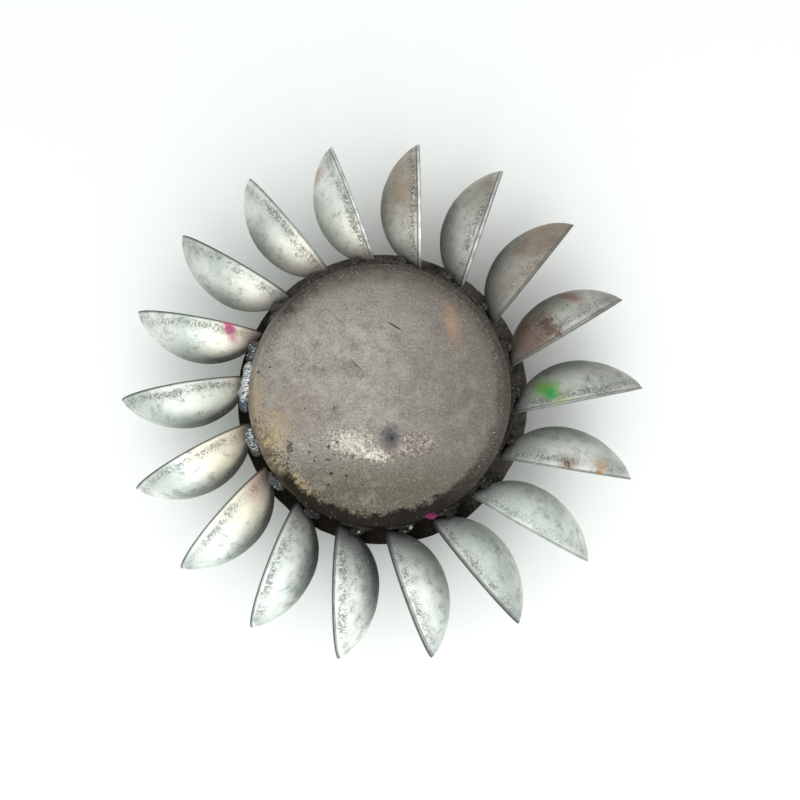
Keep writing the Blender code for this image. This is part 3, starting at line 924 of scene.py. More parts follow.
def make_weld_finish():
    """As-welded steel: dark oxide, tinted, crusted, or brushed with painted glints. Crusted beads don't
    shine.
    """
    facts = ("ripple", "shine", "run")
    material, tree, at = start_finish("as_welded_steel", WELD_NOISES, facts)
    flat = add(tree, "ShaderNodeCombineXYZ", [at["X"], at["Y"], 0.0])
    grain = at["grain"]
    sooty = add(tree, "ShaderNodeMapRange", [at["shine"], 0.1, 0.8, 0.92, 0.0])
    layers = oxide_tints(tree, at) + crust_layers(tree, at, sooty)
    layers.append((glint_share(tree, at), WELD_BRIGHT))
    for centre, reach in STOP_CRATERS:
        edge = (reach + 0.7, reach + 1.5)
        layers.append((spot_share(tree, flat, centre, [(grain, 3.0)], edge, 0.9), WELD_BRIGHT))
    dab = spot_share(tree, flat, DAB_ON_BEAD, [(grain, 6.0)], DAB_EDGE, 0.9)
    layers.append((dab, PAINT_OLD_PINK))
    metal = add(tree, "ShaderNodeMapRange", [sooty, 0.0, 0.92, 0.85, 0.1])
    rough = add(tree, "ShaderNodeMapRange", [grain, 0.3, 0.7, 0.26, 0.50])
    rough = add(tree, "ShaderNodeMath", [sooty, 0.35, rough], operation="MULTIPLY_ADD")
    specular = add(tree, "ShaderNodeMapRange", [sooty, 0.0, 0.92, 0.5, 0.2])
    height = add(tree, "ShaderNodeMath", [grain, 0.6 * MM], operation="MULTIPLY")
    return end_finish(material, WELD_DARK, layers, metal, rough, height, specular)


weld_finish = make_weld_finish()

# %% [markdown]
# ## Where the root beads run
# Each bead lies in the corner between the hub's side and the back of its cup, and wraps the root
# from near the front rim to near the back rim. For each place over the arch the script searches
# the one point that is a bead's radius and a small gap from both.
# %% Path of a root bead
ROOT_BEAD = 4.7 * MM
SEAT_GAP = 0.3 * MM
SKIN_STEP = 0.0001
NEAREST_ALONG = 0.0005
FARTHEST_ALONG = 0.3
HALVINGS = 40


def cup_point(along, arch):
    """The same rule as the node group, for a cup that points along +X."""
    rim = (4.0 * along * (1.0 - along)) ** RIM_POWER
    skewed = along ** DEPTH_SKEW
    hollow = (4.0 * skewed * (1.0 - skewed)) ** DEPTH_POWER
    return Vector((
        ROOT_REACH + (TIP_REACH - ROOT_REACH) * along,
        BUCKET_DEPTH * hollow * math.sin(arch) - MOUTH_OFFSET,
        HALF_WIDTH * rim * math.cos(arch),
    ))


def cup_normal(along, arch):
    """Outward normal of the cup, from two small steps on its skin."""
    here = cup_point(along, arch)
    outward = cup_point(along + SKIN_STEP, arch) - here
    over = cup_point(along, arch + SKIN_STEP) - here
    normal = outward.cross(over)
    normal.normalize()
    if normal.dot(here - Vector((here.x, -MOUTH_OFFSET, 0.0))) < 0.0:
        normal.negate()
    return normal


def corner_point(arch, radius):
    """Centre of a bead of this radius that touches the hub's side and the cup."""
    clear = radius + SEAT_GAP
    low = NEAREST_ALONG
    high = FARTHEST_ALONG
    for _ in range(HALVINGS):
        along = (low + high) / 2
        centre = cup_point(along, arch) + clear * cup_normal(along, arch)
        if math.hypot(centre.x, centre.y) < HUB_RADIUS + clear:
            low = along
        else:
            high = along
    return centre


middle_of_bead = corner_point(math.pi / 2, ROOT_BEAD)
print("a root bead lies", round(math.hypot(*middle_of_bead[:2]) - HUB_RADIUS, 4), "m off the hub's side")

# %% [markdown]
# ## The root beads
# The first pass fills the corner. A second pass is laid over its front, on the shoulder of the
# hub, as it shows between the hub's face and the cups. Most of these are thin and sooty. On cups
# 12 to 15 they are thick, stand farther out and are brushed more or less bright, as in the
# photograph. Both passes use the weld tree on a path of their own and are joined to one piece.
# %% Make the root beads
THICK_COVER = {12: 4.6 * MM, 13: 5.2 * MM, 14: 5.2 * MM, 15: 4.2 * MM}
THICK_START = {12: -16.0, 13: -17.5, 14: -26.0, 15: -15.0}
# How strongly each bead carries painted glints; duller beads get soot crust instead
WELD_SHINE = {11: 0.2, 12: 0.6, 13: 1.0, 14: 1.4, 15: 0.7, 16: 0.3}
DULL_SHINE = 0.1
FILL_END = math.radians(168.0)
FILL_STEPS = 24
COVER_STEPS = 12

# Reach and level where a second pass starts, and how far it drifts out, rises and drops
THICK_PLACE = (HUB_RADIUS + 1.0 * MM, 14.4 * MM)
THIN_PLACE = (HUB_RADIUS + 0.4 * MM, 12.4 * MM)
COVER_DRIFT = 1.8 * MM
COVER_RISE = 1.0 * MM
COVER_DROP = 2.4 * MM
SWAY_RATE = 5.0


def polyline(name, points):
    """A mesh of edges through the points."""
    mesh = bpy.data.meshes.new(name)
    mesh.from_pydata(points, [(index, index + 1) for index in range(len(points) - 1)], [])
    return mesh


def join(pieces, name):
    """Join objects into the first one."""
    bm = bmesh.new()
    for piece in pieces:
        bm.from_mesh(piece.data)
    bm.to_mesh(pieces[0].data)
    bm.free()
    for piece in pieces[1:]:
        bpy.data.objects.remove(piece, do_unlink=True)
    pieces[0].name = name
    return pieces[0]


def fill_bead(number, place):
    """The first pass, in the corner between hub and cup."""
    start = math.radians(chance.uniform(34.0, 44.0))
    arches = [start + (FILL_END - start) * step / FILL_STEPS for step in range(FILL_STEPS + 1)]
    path = [place @ corner_point(arch, ROOT_BEAD) for arch in arches]
    return grow(f"fill_{number:02d}", weld_bead, {
        "Radius": ROOT_BEAD - 0.5 * MM,
        "Step": 0.7 * MM,
        "Ripple Depth": 0.45 * MM,
        "Lumps": 1.0 * MM,
        "Seed": float(number),
        "Material": weld_finish,
    }, polyline("fill_path", path))


def cover_bead(number, place):
    """The second pass, which sways a little and sinks towards the cup."""
    first = THICK_START.get(number, chance.uniform(-20.5, -18.5))
    last = chance.uniform(-7.0, -2.0)
    sway = chance.uniform(-0.8, 0.8) * MM
    reach, level = THICK_PLACE if number in THICK_COVER else THIN_PLACE
    path = []
    for step in range(COVER_STEPS + 1):
        share = step / COVER_STEPS
        out = reach + COVER_DRIFT * share + sway * math.sin(SWAY_RATE * share)
        angle = math.radians(first + (last - first) * share)
        up = level + COVER_RISE * math.sin(math.pi * share) - COVER_DROP * share
        path.append(place @ Vector((out * math.cos(angle), out * math.sin(angle), up)))
    return grow(f"cover_{number:02d}", weld_bead, {
        "Radius": THICK_COVER.get(number, chance.uniform(2.7, 3.4) * MM),
        "Ripple Pitch": chance.uniform(2.0, 2.6) * MM,
        "Lumps": 1.4 * MM,
        "End Taper": 0.22,
        "Seed": number + 0.5,
        "Material": weld_finish,
    }, polyline("cover_path", path))


def make_root_weld(number):
    """Both passes at the root of one bucket, in place of its solid bead."""
    turn = Matrix.Rotation(bucket_angle(number), 4, "Z")
    place = Matrix.Translation((0.0, 0.0, MIDDLE)) @ turn
    passes = [fill_bead(number, place), cover_bead(number, place)]
    weld = join(passes, f"root_weld_{number:02d}")
    set_fact(weld.data, "shine", WELD_SHINE.get(number, DULL_SHINE))
    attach(weld, "root")
    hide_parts(f"bucket_weld_{number:02d}")
    return weld


root_welds = [make_root_weld(number) for number in range(1, BUCKET_COUNT + 1)]
print("root welds:", len(root_welds), "faces each:", len(root_welds[0].data.polygons))

# %% [markdown]
# ## Turned pieces
# Hub, disc and boss are round, so each is an outline turned about the axis. The rings of points
# and the faces between them are listed by the script itself. Blender's own spin gives the same
# shape, but its faces in another order each time, and the spatter below depends on that order.
# %% Helpers for turned pieces


def spin(name, profile, steps, closed):
    """Turn a profile of (radius, height) points about the axis into a closed mesh object."""
    points = []
    rings = []
    for radius, height in profile:
        turns = [math.tau * step / steps for step in range(steps if radius > 0.0 else 1)]
        rings.append([len(points) + step % len(turns) for step in range(steps + 1)])
        points += [(radius * math.cos(turn), radius * math.sin(turn), height) for turn in turns]

    # A point on the axis stands in for its whole ring, so the faces there are triangles
    faces = []
    for ring, after in zip(rings, rings[1:] + rings[:1] if closed else rings[1:]):
        for step in range(steps):
            corners = (ring[step], ring[step + 1], after[step + 1], after[step])
            faces.append(tuple(dict.fromkeys(corners)))
    mesh = bpy.data.meshes.new(name)
    mesh.from_pydata(points, [], faces)
    outwards(mesh)
    mesh.shade_smooth()
    return put_in_scene(name, mesh)


def stretch(first, last, parts):
    """Points from first up to, but not including, last."""
    shares = [step / parts for step in range(parts)]
    return [tuple(a + (b - a) * share for a, b in zip(first, last)) for share in shares]


def corner(centre, radius, start, end, parts=6):
    """Points of a rounded edge, from one angle to another in degrees."""
    angles = [math.radians(start + (end - start) * step / parts) for step in range(parts + 1)]
    return [(centre[0] + radius * math.cos(a), centre[1] + radius * math.sin(a)) for a in angles]


# %% [markdown]
# ## The hub
# The hub was cut from thick plate by flame and only roughly cleaned. It is turned from a profile
# with fine rounded edges, and then sunk unevenly by up to about a millimetre near its edge, so
# that the edge catches the light unevenly. A modelled wobble reads better here than a bump,
# because the edge is seen against the dark gap behind it.
# %% Shape of the hub
FACE_EDGE = 1.6 * MM
HUB_STEPS = 240
FACE_PARTS = 44
CHAMFER_PARTS = 8
SIDE_PARTS = 16
BACK_PARTS = 4
EDGE_BAND = 9.0 * MM
SINK_ALL = 0.15 * MM
SINK_AT_EDGE = 0.75 * MM
SLOW_WAVE_MM = 16.0
QUICK_WAVE_MM = 4.0


def hub_profile():
    """Half an outline: face, chamfer, side and back, with more points where it will waver."""
    slope = math.degrees(math.atan2(HUB_TOP - SHOULDER, HUB_RADIUS - FACE_RADIUS))
    lean = 90.0 - slope
    inner = FACE_RADIUS - FACE_EDGE * math.tan(math.radians(slope / 2))
    profile = stretch((0.0, HUB_TOP), (inner, HUB_TOP), FACE_PARTS)
    profile += corner((inner, HUB_TOP - FACE_EDGE), FACE_EDGE, 90.0, lean)
    knee = (HUB_RADIUS - FACE_EDGE, SHOULDER - FACE_EDGE * math.tan(math.radians(lean / 2)))
    profile += stretch(profile.pop(), corner(knee, FACE_EDGE, lean, 0.0)[0], CHAMFER_PARTS)
    profile += corner(knee, FACE_EDGE, lean, 0.0)
    profile += stretch(profile.pop(), (HUB_RADIUS, HUB_BOTTOM), SIDE_PARTS)
    profile += stretch((HUB_RADIUS, HUB_BOTTOM), (0.0, HUB_BOTTOM), BACK_PARTS)
    profile.append((0.0, HUB_BOTTOM))
    return profile


def sink_unevenly(mesh):
    """Push the face down a little, and the edge down and inwards by more."""
    for vertex in mesh.vertices:
        here = vertex.co
        rim = math.hypot(here.x, here.y)
        near_edge = max(0.0, 1.0 - abs(rim - FACE_RADIUS) / EDGE_BAND)
        slow = noise.noise(here * per(SLOW_WAVE_MM)) * 0.5 + 0.5
        quick = noise.noise(here * per(QUICK_WAVE_MM)) * 0.5 + 0.5
        sink = (SINK_ALL + SINK_AT_EDGE * near_edge) * (0.6 * slow + 0.4 * quick)
        if here.z > HUB_BOTTOM + 1.0 * MM:
            inwards = Vector((here.x, here.y, 0.0)) * (sink / max(rim, MM))
            vertex.co = here - inwards * near_edge - Vector((0.0, 0.0, 0.5 * sink))


def make_hub(material):
    """The hub with rounded, slightly wavering edges, in place of its solid."""
    hub = spin("hub_body", hub_profile(), HUB_STEPS, False)
    sink_unevenly(hub.data)
    hub.data.materials.append(material)
    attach(hub, "root")
    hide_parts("hub")
    return hub


print("points in the hub's profile:", len(hub_profile()))

# %% [markdown]
# ## Finish of the hub: scaled plate
# The face is bare plate under a thin grey-brown oxide with a sandy grain, more olive low down, and
# painted darker to the right and at the top as shade. It has yellow-brown heat colour along the lower
# left edge, where cups were welded, a painted reflection (a pale patch with a dark spot at its middle),
# and scratches. Such marks are a list, with places in millimetres from the axis, the way a painter would
# mark them on the piece.
# %% Colours, noises and marks of the hub
SCALE_GREY = linear("969086")
SCALE_VIOLET = linear("8A827D")
SCALE_PALE = linear("B5B0A6")
SCALE_DARK = linear("5C554D")
SCALE_OLIVE = linear("524B3A")
SIDE_BLACK = linear("1C1712")
SIDE_BROWN = linear("4B4640")
SIDE_CRUMBS = linear("8F8A82")
HEAT_OCHRE = linear("B19D79")
HEAT_BROWN = linear("8C7861")
RUBBED = linear("DAD4C7")
RUBBED_ROSE = linear("C9BAB1")
SPOT_BLUE = linear("44474C")
SPOT_BROWN = linear("5E504C")
STAIN_ORANGE = linear("BC8C64")

# Size in millimetres, detail, roughness, distortion. The sandy grain of real oxide is finer than
# a pixel of the picture, so it is drawn one and a half millimetres wide.
HUB_NOISES = {
    "clouds": (60.0, 5.0, 0.60, 0.0),
    "mottle": (12.0, 8.0, 0.72, 0.3),
    "grain": (1.5, 5.0, 0.90, 0.0),
    "specks": (3.4, 3.0, 0.65, 0.0),
}

# Centre and reach in millimetres, turn in degrees, how ragged and how soft the edge is (as shares
# of the reach), strength, colour. A negative raggedness puts the flecks between those of a
# positive one.
FACE_MARKS = [
    ((-76.0, 6.0), (14.0, 36.0), 0.0, 1.4, 1.20, 0.26, SCALE_DARK),
    ((-66.0, -16.0), (22.0, 24.0), 0.0, 1.6, 1.00, 0.45, HEAT_BROWN),
    ((-80.0, -36.0), (17.0, 26.0), -20.0, 2.2, 0.90, 0.90, HEAT_OCHRE),
    ((-90.0, -6.0), (8.0, 30.0), 0.0, 1.8, 0.80, 0.55, HEAT_OCHRE),
    ((-60.0, -68.0), (30.0, 10.0), -44.0, 2.2, 0.80, 0.70, HEAT_OCHRE),
    ((-24.0, -89.0), (30.0, 7.0), -12.0, 2.0, 0.80, 0.70, HEAT_BROWN),
    ((54.0, 52.0), (8.0, 25.0), 8.0, 1.0, 1.30, 0.50, STAIN_ORANGE),
    ((-82.0, -46.0), (15.0, 26.0), 20.0, -5.0, 0.80, 0.66, SIDE_BROWN),
    ((-64.0, -40.0), (4.0, 8.0), 0.0, -6.0, 0.80, 0.80, SIDE_BLACK),
    # Painted reflection: a pale patch and a rose one, with brown grain in them and a dark spot at the
    # middle
    ((-19.0, -37.5), (18.0, 11.0), -6.0, 2.8, 0.70, 0.95, RUBBED),
    ((-2.0, -45.0), (13.0, 5.5), -14.0, 3.4, 0.70, 0.92, RUBBED),
    ((-17.0, -38.0), (22.0, 13.0), -6.0, -6.0, 0.80, 0.45, SPOT_BROWN),
    ((23.0, -38.0), (15.0, 7.5), 4.0, 4.0, 0.80, 0.85, RUBBED_ROSE),
    ((22.0, -38.5), (18.0, 9.0), 4.0, -6.0, 0.70, 0.80, SPOT_BROWN),
    ((8.3, -32.0), (8.5, 10.5), 12.0, 3.6, 0.60, 0.90, SPOT_BLUE),
    ((9.5, -33.0), (3.0, 3.0), 12.0, 3.0, 0.80, 0.85, SIDE_BLACK),
    ((33.4, -1.5), (2.6, 1.2), -20.0, 1.4, 0.60, 0.70, SCALE_DARK),
    ((-33.5, -59.0), (2.0, 1.6), 30.0, 1.4, 0.50, 0.90, SIDE_BLACK),
    ((-22.5, -60.5), (1.4, 1.3), 0.0, 1.4, 0.50, 0.85, SIDE_BLACK),
    ((-30.0, -73.0), (32.0, 3.0), 6.0, 1.6, 1.40, 0.60, SCALE_OLIVE),
    ((12.0, 48.5), (7.5, 0.8), -31.0, 0.3, 0.35, 0.85, SIDE_BLACK),
    ((-16.0, 20.0), (6.0, 0.7), -44.0, 0.5, 0.35, 0.55, SIDE_BLACK),
    ((-33.0, 57.0), (17.0, 0.6), -46.0, 0.5, 0.35, 0.45, SCALE_DARK),
]


def oxide_layers(tree, at):
    """Slow clouds, a sandy grain, an olive shade low down, and painted shade to the right and at the top.
    """
    mottle, grain = at["mottle"], at["grain"]
    violet = add(tree, "ShaderNodeMapRange", [at["clouds"], 0.42, 0.60, 0.0, 1.0])
    # Painted shade: the face darkens to the right
    rightwards = add(tree, "ShaderNodeMapRange", [at["X"], 0.0, 75.0 * MM, 0.0, 0.62])
    low_down = add(tree, "ShaderNodeMath", [mottle, -40.0 * MM, at["Y"]], operation="MULTIPLY_ADD")
    low_down = add(tree, "ShaderNodeMapRange", [low_down, -58.0 * MM, -88.0 * MM, 0.0, 0.90])
    layers = [(violet, SCALE_VIOLET), (rightwards, SCALE_DARK), (low_down, SCALE_OLIVE)]
    for pattern, start, end, strength, colour in (
        (mottle, 0.51, 0.62, 0.50, SCALE_PALE),
        (mottle, 0.49, 0.38, 0.50, SCALE_DARK),
        (grain, 0.52, 0.62, 0.70, SCALE_DARK),
        (grain, 0.48, 0.38, 0.65, SCALE_PALE),
    ):
        layers.append((add(tree, "ShaderNodeMapRange", [pattern, start, end, 0.0, strength]), colour))
    layers.append((add(tree, "ShaderNodeMath", [low_down, 0.42], operation="MULTIPLY"), SCALE_OLIVE))
    # Painted shade: darker again far to the right and near the top edge
    for way, start, end in (("X", 36.0, 110.0), ("Y", 85.0, 125.0)):
        dark = add(tree, "ShaderNodeMath", [mottle, 70.0 * MM, at[way]], operation="MULTIPLY_ADD")
        dark = add(tree, "ShaderNodeMapRange", [dark, start * MM, end * MM, 0.0, 0.5])
        layers.append((dark, SCALE_DARK))
    return layers


def mark_layers(tree, at, flat):
    """The marks of the list, each an ellipse with an edge that the noises fray."""
    layers = []
    for centre, reach, turn, ragged, soft, strength, colour in FACE_MARKS:
        away = add(tree, "ShaderNodeMapping", {
            "Vector": flat,
            "Location": (centre[0] * MM, centre[1] * MM, 0.0),
            "Rotation": (0.0, 0.0, math.radians(turn)),
            "Scale": (reach[0] * MM, reach[1] * MM, 1.0),
        }, vector_type="TEXTURE")
        away = add(tree, "ShaderNodeVectorMath", [away], operation="LENGTH")
        for pattern, width in (("mottle", 0.5), ("specks", 0.5), ("grain", 1.0)):
            fray = [at[pattern], width * ragged, away]
            away = add(tree, "ShaderNodeMath", fray, operation="MULTIPLY_ADD")
        edge = 1.0 + ragged
        share = add(tree, "ShaderNodeMapRange", [away, edge - soft, edge, strength, 0.0])
        layers.append((share, colour))
    return layers


# %% [markdown]
# ## Painted shade, soot, pits and paint on the hub
# Black pits gather at the lower left, where the heat was. Past the edge of the face the side is painted
# dark as shade, with some weld soot: nearly black low on the left, grey-brown with pale crumbs to the
# upper right. The disc behind the hub has nearly the same painted shade, so its colour is a function of
# its own. Bare plate shines a little, and the dark side hardly at all.
# %% Material of the hub
HEAT_PLACE = Vector((-50.0 * MM, -60.0 * MM, 0.0))


def soot_colour(tree, at, brown):
    """Colour of the painted shade and soot, for the brown that it has at the upper right."""
    upper = add(tree, "ShaderNodeMath", [at["X"], 0.9, at["Y"]], operation="MULTIPLY_ADD")
    upper = add(tree, "ShaderNodeMath", [at["mottle"], 60.0 * MM, upper], operation="MULTIPLY_ADD")
    upper = add(tree, "ShaderNodeMapRange", [upper, -10.0 * MM, 80.0 * MM, 0.0, 1.0])
    soot = {"Factor": upper, "A": SIDE_BLACK, "B": brown}
    soot = add(tree, "ShaderNodeMix", soot, data_type="RGBA")
    crumbs = add(tree, "ShaderNodeMapRange", [at["grain"], 0.52, 0.62, 0.0, 1.0])
    most = add(tree, "ShaderNodeMapRange", [upper, 0.0, 1.0, 0.08, 0.75])
    crumbs = add(tree, "ShaderNodeMath", [crumbs, most], operation="MULTIPLY")
    crumbly = {"Factor": crumbs, "A": soot, "B": SIDE_CRUMBS}
    return add(tree, "ShaderNodeMix", crumbly, data_type="RGBA")


def pit_share(tree, at, flat):
    """Pits: the highest specks, and more of them where the heat was."""
    near_heat = add(tree, "ShaderNodeVectorMath", [flat, HEAT_PLACE], operation="DISTANCE")
    needed = add(tree, "ShaderNodeMapRange", [near_heat, 15.0 * MM, 60.0 * MM, 0.62, 0.70])
    depth = add(tree, "ShaderNodeMath", [at["specks"], needed], operation="SUBTRACT")
    return add(tree, "ShaderNodeMapRange", [depth, 0.0, 0.04, 0.0, 1.0])


def past_edge_share(tree, at, flat):
    """Past a ragged edge that is wider at the top, or below the face, and weak at the left."""
    mottle = at["mottle"]
    out = add(tree, "ShaderNodeVectorMath", [flat], operation="LENGTH")
    out = add(tree, "ShaderNodeMath", [mottle, 26.0 * MM, out], operation="MULTIPLY_ADD")
    out = add(tree, "ShaderNodeMath", [at["grain"], 16.0 * MM, out], operation="MULTIPLY_ADD")
    ends = []
    for low, high in ((13.5, 7.0), (17.5, 19.0)):
        reaches = (FACE_RADIUS + low * MM, FACE_RADIUS + high * MM)
        ends.append(add(tree, "ShaderNodeMapRange", [at["Y"], -60.0 * MM, 70.0 * MM, *reaches]))
    edge = add(tree, "ShaderNodeMapRange", [out, *ends, 0.0, 1.0])
    side = add(tree, "ShaderNodeMapRange", [at["Z"], HUB_TOP - 1.5 * MM, HUB_TOP - 3.5 * MM, 0.0, 1.0])
    past = add(tree, "ShaderNodeMath", [edge, side], operation="MAXIMUM")
    left = add(tree, "ShaderNodeMath", [mottle, 50.0 * MM, at["X"]], operation="MULTIPLY_ADD")
    left = add(tree, "ShaderNodeMapRange", [left, -38.0 * MM, -62.0 * MM, 1.0, 0.20])
    return add(tree, "ShaderNodeMath", [past, left], operation="MULTIPLY")


def dab_share(tree, at, flat):
    """A dab of pink marking paint on the chamfer."""
    specks = at["specks"]
    dab = spot_share(tree, flat, DAB_ON_HUB, [(specks, 8.0)], DAB_EDGE, 0.9)
    top = add(tree, "ShaderNodeMath", [specks, 6.0 * MM, at["Z"]], operation="MULTIPLY_ADD")
    top = add(tree, "ShaderNodeMapRange", [top, SHOULDER - 1.0 * MM, SHOULDER + 1.0 * MM, 0.0, 1.0])
    return add(tree, "ShaderNodeMath", [dab, top], operation="MULTIPLY")


def make_hub_finish():
    """Flame-cut plate with oxide, stained in places, with painted shade and a painted reflection."""
    material, tree, at = start_finish("scaled_flame_cut_plate", HUB_NOISES)
    flat = add(tree, "ShaderNodeCombineXYZ", [at["X"], at["Y"], 0.0])
    pits = pit_share(tree, at, flat)
    past = past_edge_share(tree, at, flat)
    layers = oxide_layers(tree, at) + mark_layers(tree, at, flat) + [
        (add(tree, "ShaderNodeMath", [pits, 0.8], operation="MULTIPLY"), SIDE_BLACK),
        # Painted shade past the face's edge, with some soot
        (past, soot_colour(tree, at, SIDE_BROWN)),
        (dab_share(tree, at, flat), PAINT_OLD_PINK),
    ]
    metal = add(tree, "ShaderNodeMapRange", [past, 0.0, 1.0, 0.35, 0.0])
    rough = add(tree, "ShaderNodeMapRange", [at["mottle"], 0.3, 0.7, 0.50, 0.68])
    rough = add(tree, "ShaderNodeMath", [past, 0.25, rough], operation="MULTIPLY_ADD")
    specular = add(tree, "ShaderNodeMapRange", [past, 0.0, 1.0, 0.5, 0.12])
    height = add(tree, "ShaderNodeMath", [at["grain"], 0.35 * MM], operation="MULTIPLY")
    height = add(tree, "ShaderNodeMath", [at["mottle"], 0.9 * MM, height], operation="MULTIPLY_ADD")
    height = add(tree, "ShaderNodeMath", [pits, -0.35 * MM, height], operation="MULTIPLY_ADD")
    return end_finish(material, SCALE_GREY, layers, metal, rough, height, specular)


hub_finish = make_hub_finish()
hub_body = make_hub(hub_finish)
print("hub faces:", len(hub_body.data.polygons))

# %% [markdown]
# ## The disc and the boss behind the hub
# Both are cut out for the shaft and its key. A Boolean cuts the keyway, as a slotting tool would,
# and small rounded edges come from the profile itself.
# %% Shapes of the disc and the boss
EDGE_BREAK = 1.0 * MM
RING_STEPS = 192
FLAT_PARTS = 10
CUT_MARGIN = 4.0 * MM
SHARP_ANGLE = math.radians(35.0)


def key_cutter(low, high):
    """A block with the width of the key, from the axis out to the bottom of the keyway."""
    mesh = bpy.data.meshes.new("key_cutter")
    bm = bmesh.new()
    bmesh.ops.create_cube(bm, size=1.0)
    bmesh.ops.scale(bm, vec=(KEY_REACH, KEY_WIDTH, high - low), verts=bm.verts)
    bmesh.ops.translate(bm, vec=(KEY_REACH / 2, 0.0, (high + low) / 2), verts=bm.verts)
    bm.to_mesh(mesh)
    bm.free()
    return put_in_scene("key_cutter", mesh)


def cut_keyway(piece, low, high):
    """Cut the keyway and leave a plain mesh."""
    cutter = key_cutter(low - CUT_MARGIN, high + CUT_MARGIN)
    modifier = piece.modifiers.new("keyway", "BOOLEAN")
    modifier.operation = "DIFFERENCE"
    modifier.solver = "EXACT"
    modifier.object = cutter
    make_plain(piece)
    bpy.data.objects.remove(cutter, do_unlink=True)


def ring_profile(outer, low, high, bore):
    """Profile of a ring with rounded outer edges and broken bore edges."""
    edge = EDGE_BREAK
    profile = stretch((bore + edge, high), (outer - edge, high), FLAT_PARTS)
    profile += corner((outer - edge, high - edge), edge, 90.0, 0.0)
    profile += corner((outer - edge, low + edge), edge, 0.0, -90.0)
    profile += stretch((outer - edge, low), (bore + edge, low), FLAT_PARTS)[1:]
    profile += [(bore + edge, low), (bore, low + edge), (bore, high - edge)]
    return profile


def make_ring(name, node, outer, low, high, material):
    """A disc or boss with its bore and keyway, in place of its solid."""
    piece = spin(name, ring_profile(outer, low, high, SHAFT_RADIUS), RING_STEPS, True)
    piece.data.materials.append(material)
    cut_keyway(piece, low, high)
    piece.data.shade_smooth()
    piece.data.set_sharp_from_angle(angle=SHARP_ANGLE)
    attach(piece, "root")
    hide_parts(node)
    return piece


disc_profile = ring_profile(DISC_RADIUS, disc_low[2], disc_high[2], SHAFT_RADIUS)
print("points in the disc's profile:", len(disc_profile))

# %% [markdown]
# ## Finish of the disc: hot-rolled plate
# Rolled plate keeps its mill scale: dark grey, with brown breaks and pale specks. The side that faces the
# cups is painted dark like the hub's side, as shade between the cups with some weld soot.
# %% Material of the disc
MILL_SCALE = linear("4E4C4A")
MILL_BROWN = linear("63523F")
MILL_PALE = linear("7E7A73")
DISC_BROWN = linear("6B645C")

# Size in millimetres, detail, roughness, distortion
DISC_NOISES = {"mottle": (14.0, 8.0, 0.68, 0.0), "grain": (2.4, 5.0, 0.75, 0.0)}


def make_disc_finish():
    """Hot-rolled plate with mill scale, and painted shade with soot on the side that faces the cups."""
    material, tree, at = start_finish("hot_rolled_mill_scale", DISC_NOISES)
    mottle, grain = at["mottle"], at["grain"]
    front = add(tree, "ShaderNodeMapRange", [at["Z"], disc_high[2] - 5 * MM, disc_high[2], 0.0, 0.95])
    hollows = add(tree, "ShaderNodeMapRange", [mottle, 0.50, 0.36, 0.0, 0.75])
    layers = [
        (add(tree, "ShaderNodeMapRange", [mottle, 0.45, 0.62, 0.0, 1.0]), MILL_BROWN),
        (add(tree, "ShaderNodeMapRange", [grain, 0.55, 0.64, 0.0, 0.7]), MILL_PALE),
        # Painted shade with some soot on the front of the disc, blacker in the hollows
        (front, soot_colour(tree, at, DISC_BROWN)),
        (add(tree, "ShaderNodeMath", [hollows, front], operation="MULTIPLY"), SIDE_BLACK),
    ]
    metal = add(tree, "ShaderNodeMapRange", [front, 0.0, 0.95, 0.4, 0.0])
    rough = add(tree, "ShaderNodeMapRange", [mottle, 0.3, 0.7, 0.45, 0.68])
    rough = add(tree, "ShaderNodeMath", [front, 0.25, rough], operation="MULTIPLY_ADD")
    specular = add(tree, "ShaderNodeMapRange", [front, 0.0, 0.95, 0.5, 0.12])
    height = add(tree, "ShaderNodeMath", [grain, 0.25 * MM], operation="MULTIPLY")
    height = add(tree, "ShaderNodeMath", [mottle, 0.8 * MM, height], operation="MULTIPLY_ADD")
    return end_finish(material, MILL_SCALE, layers, metal, rough, height, specular)


disc_finish = make_disc_finish()

# %% [markdown]
# ## Finish of the boss: turned steel
# The boss was turned in a lathe, so its face and side carry fine rings, and it is the cleanest
# metal on the part: bright, a little dulled, with a few specks of rust. The rings come from a
# noise that only knows the distance from the axis and the height.
# %% Material of the boss
TURNED_STEEL = linear("B4B1A9")
TURNED_DULL = linear("8A8478")

# Real turning marks lie a few tenths of a millimetre apart, too fine to show, so these are coarser
GROOVE_MM = 1.2


def make_boss_finish():
    """Turned steel: fine rings about the axis, slightly dulled."""
    material, tree, at = start_finish("turned_steel", {"dull": (18.0, 6.0, 0.5, 0.0)})
    flat = add(tree, "ShaderNodeCombineXYZ", [at["X"], at["Y"], 0.0])
    radius = add(tree, "ShaderNodeVectorMath", [flat], operation="LENGTH")
    track = add(tree, "ShaderNodeMath", [radius, at["Z"]], operation="ADD")
    groove = {"W": track, "Scale": per(GROOVE_MM), "Detail": 3.0}
    groove = add(tree, "ShaderNodeTexNoise", groove, noise_dimensions="1D")
    layers = [
        (add(tree, "ShaderNodeMapRange", [at["dull"], 0.42, 0.62, 0.0, 0.9]), TURNED_DULL),
        (add(tree, "ShaderNodeMapRange", [groove, 0.52, 0.66, 0.0, 0.5]), MILL_PALE),
        (add(tree, "ShaderNodeMapRange", [at["dull"], 0.60, 0.66, 0.0, 0.6]), RUST),
    ]
    rough = add(tree, "ShaderNodeMapRange", [groove, 0.3, 0.7, 0.30, 0.46])
    height = add(tree, "ShaderNodeMath", [groove, 0.12 * MM], operation="MULTIPLY")
    return end_finish(material, TURNED_STEEL, layers, 0.95, rough, height)


boss_finish = make_boss_finish()

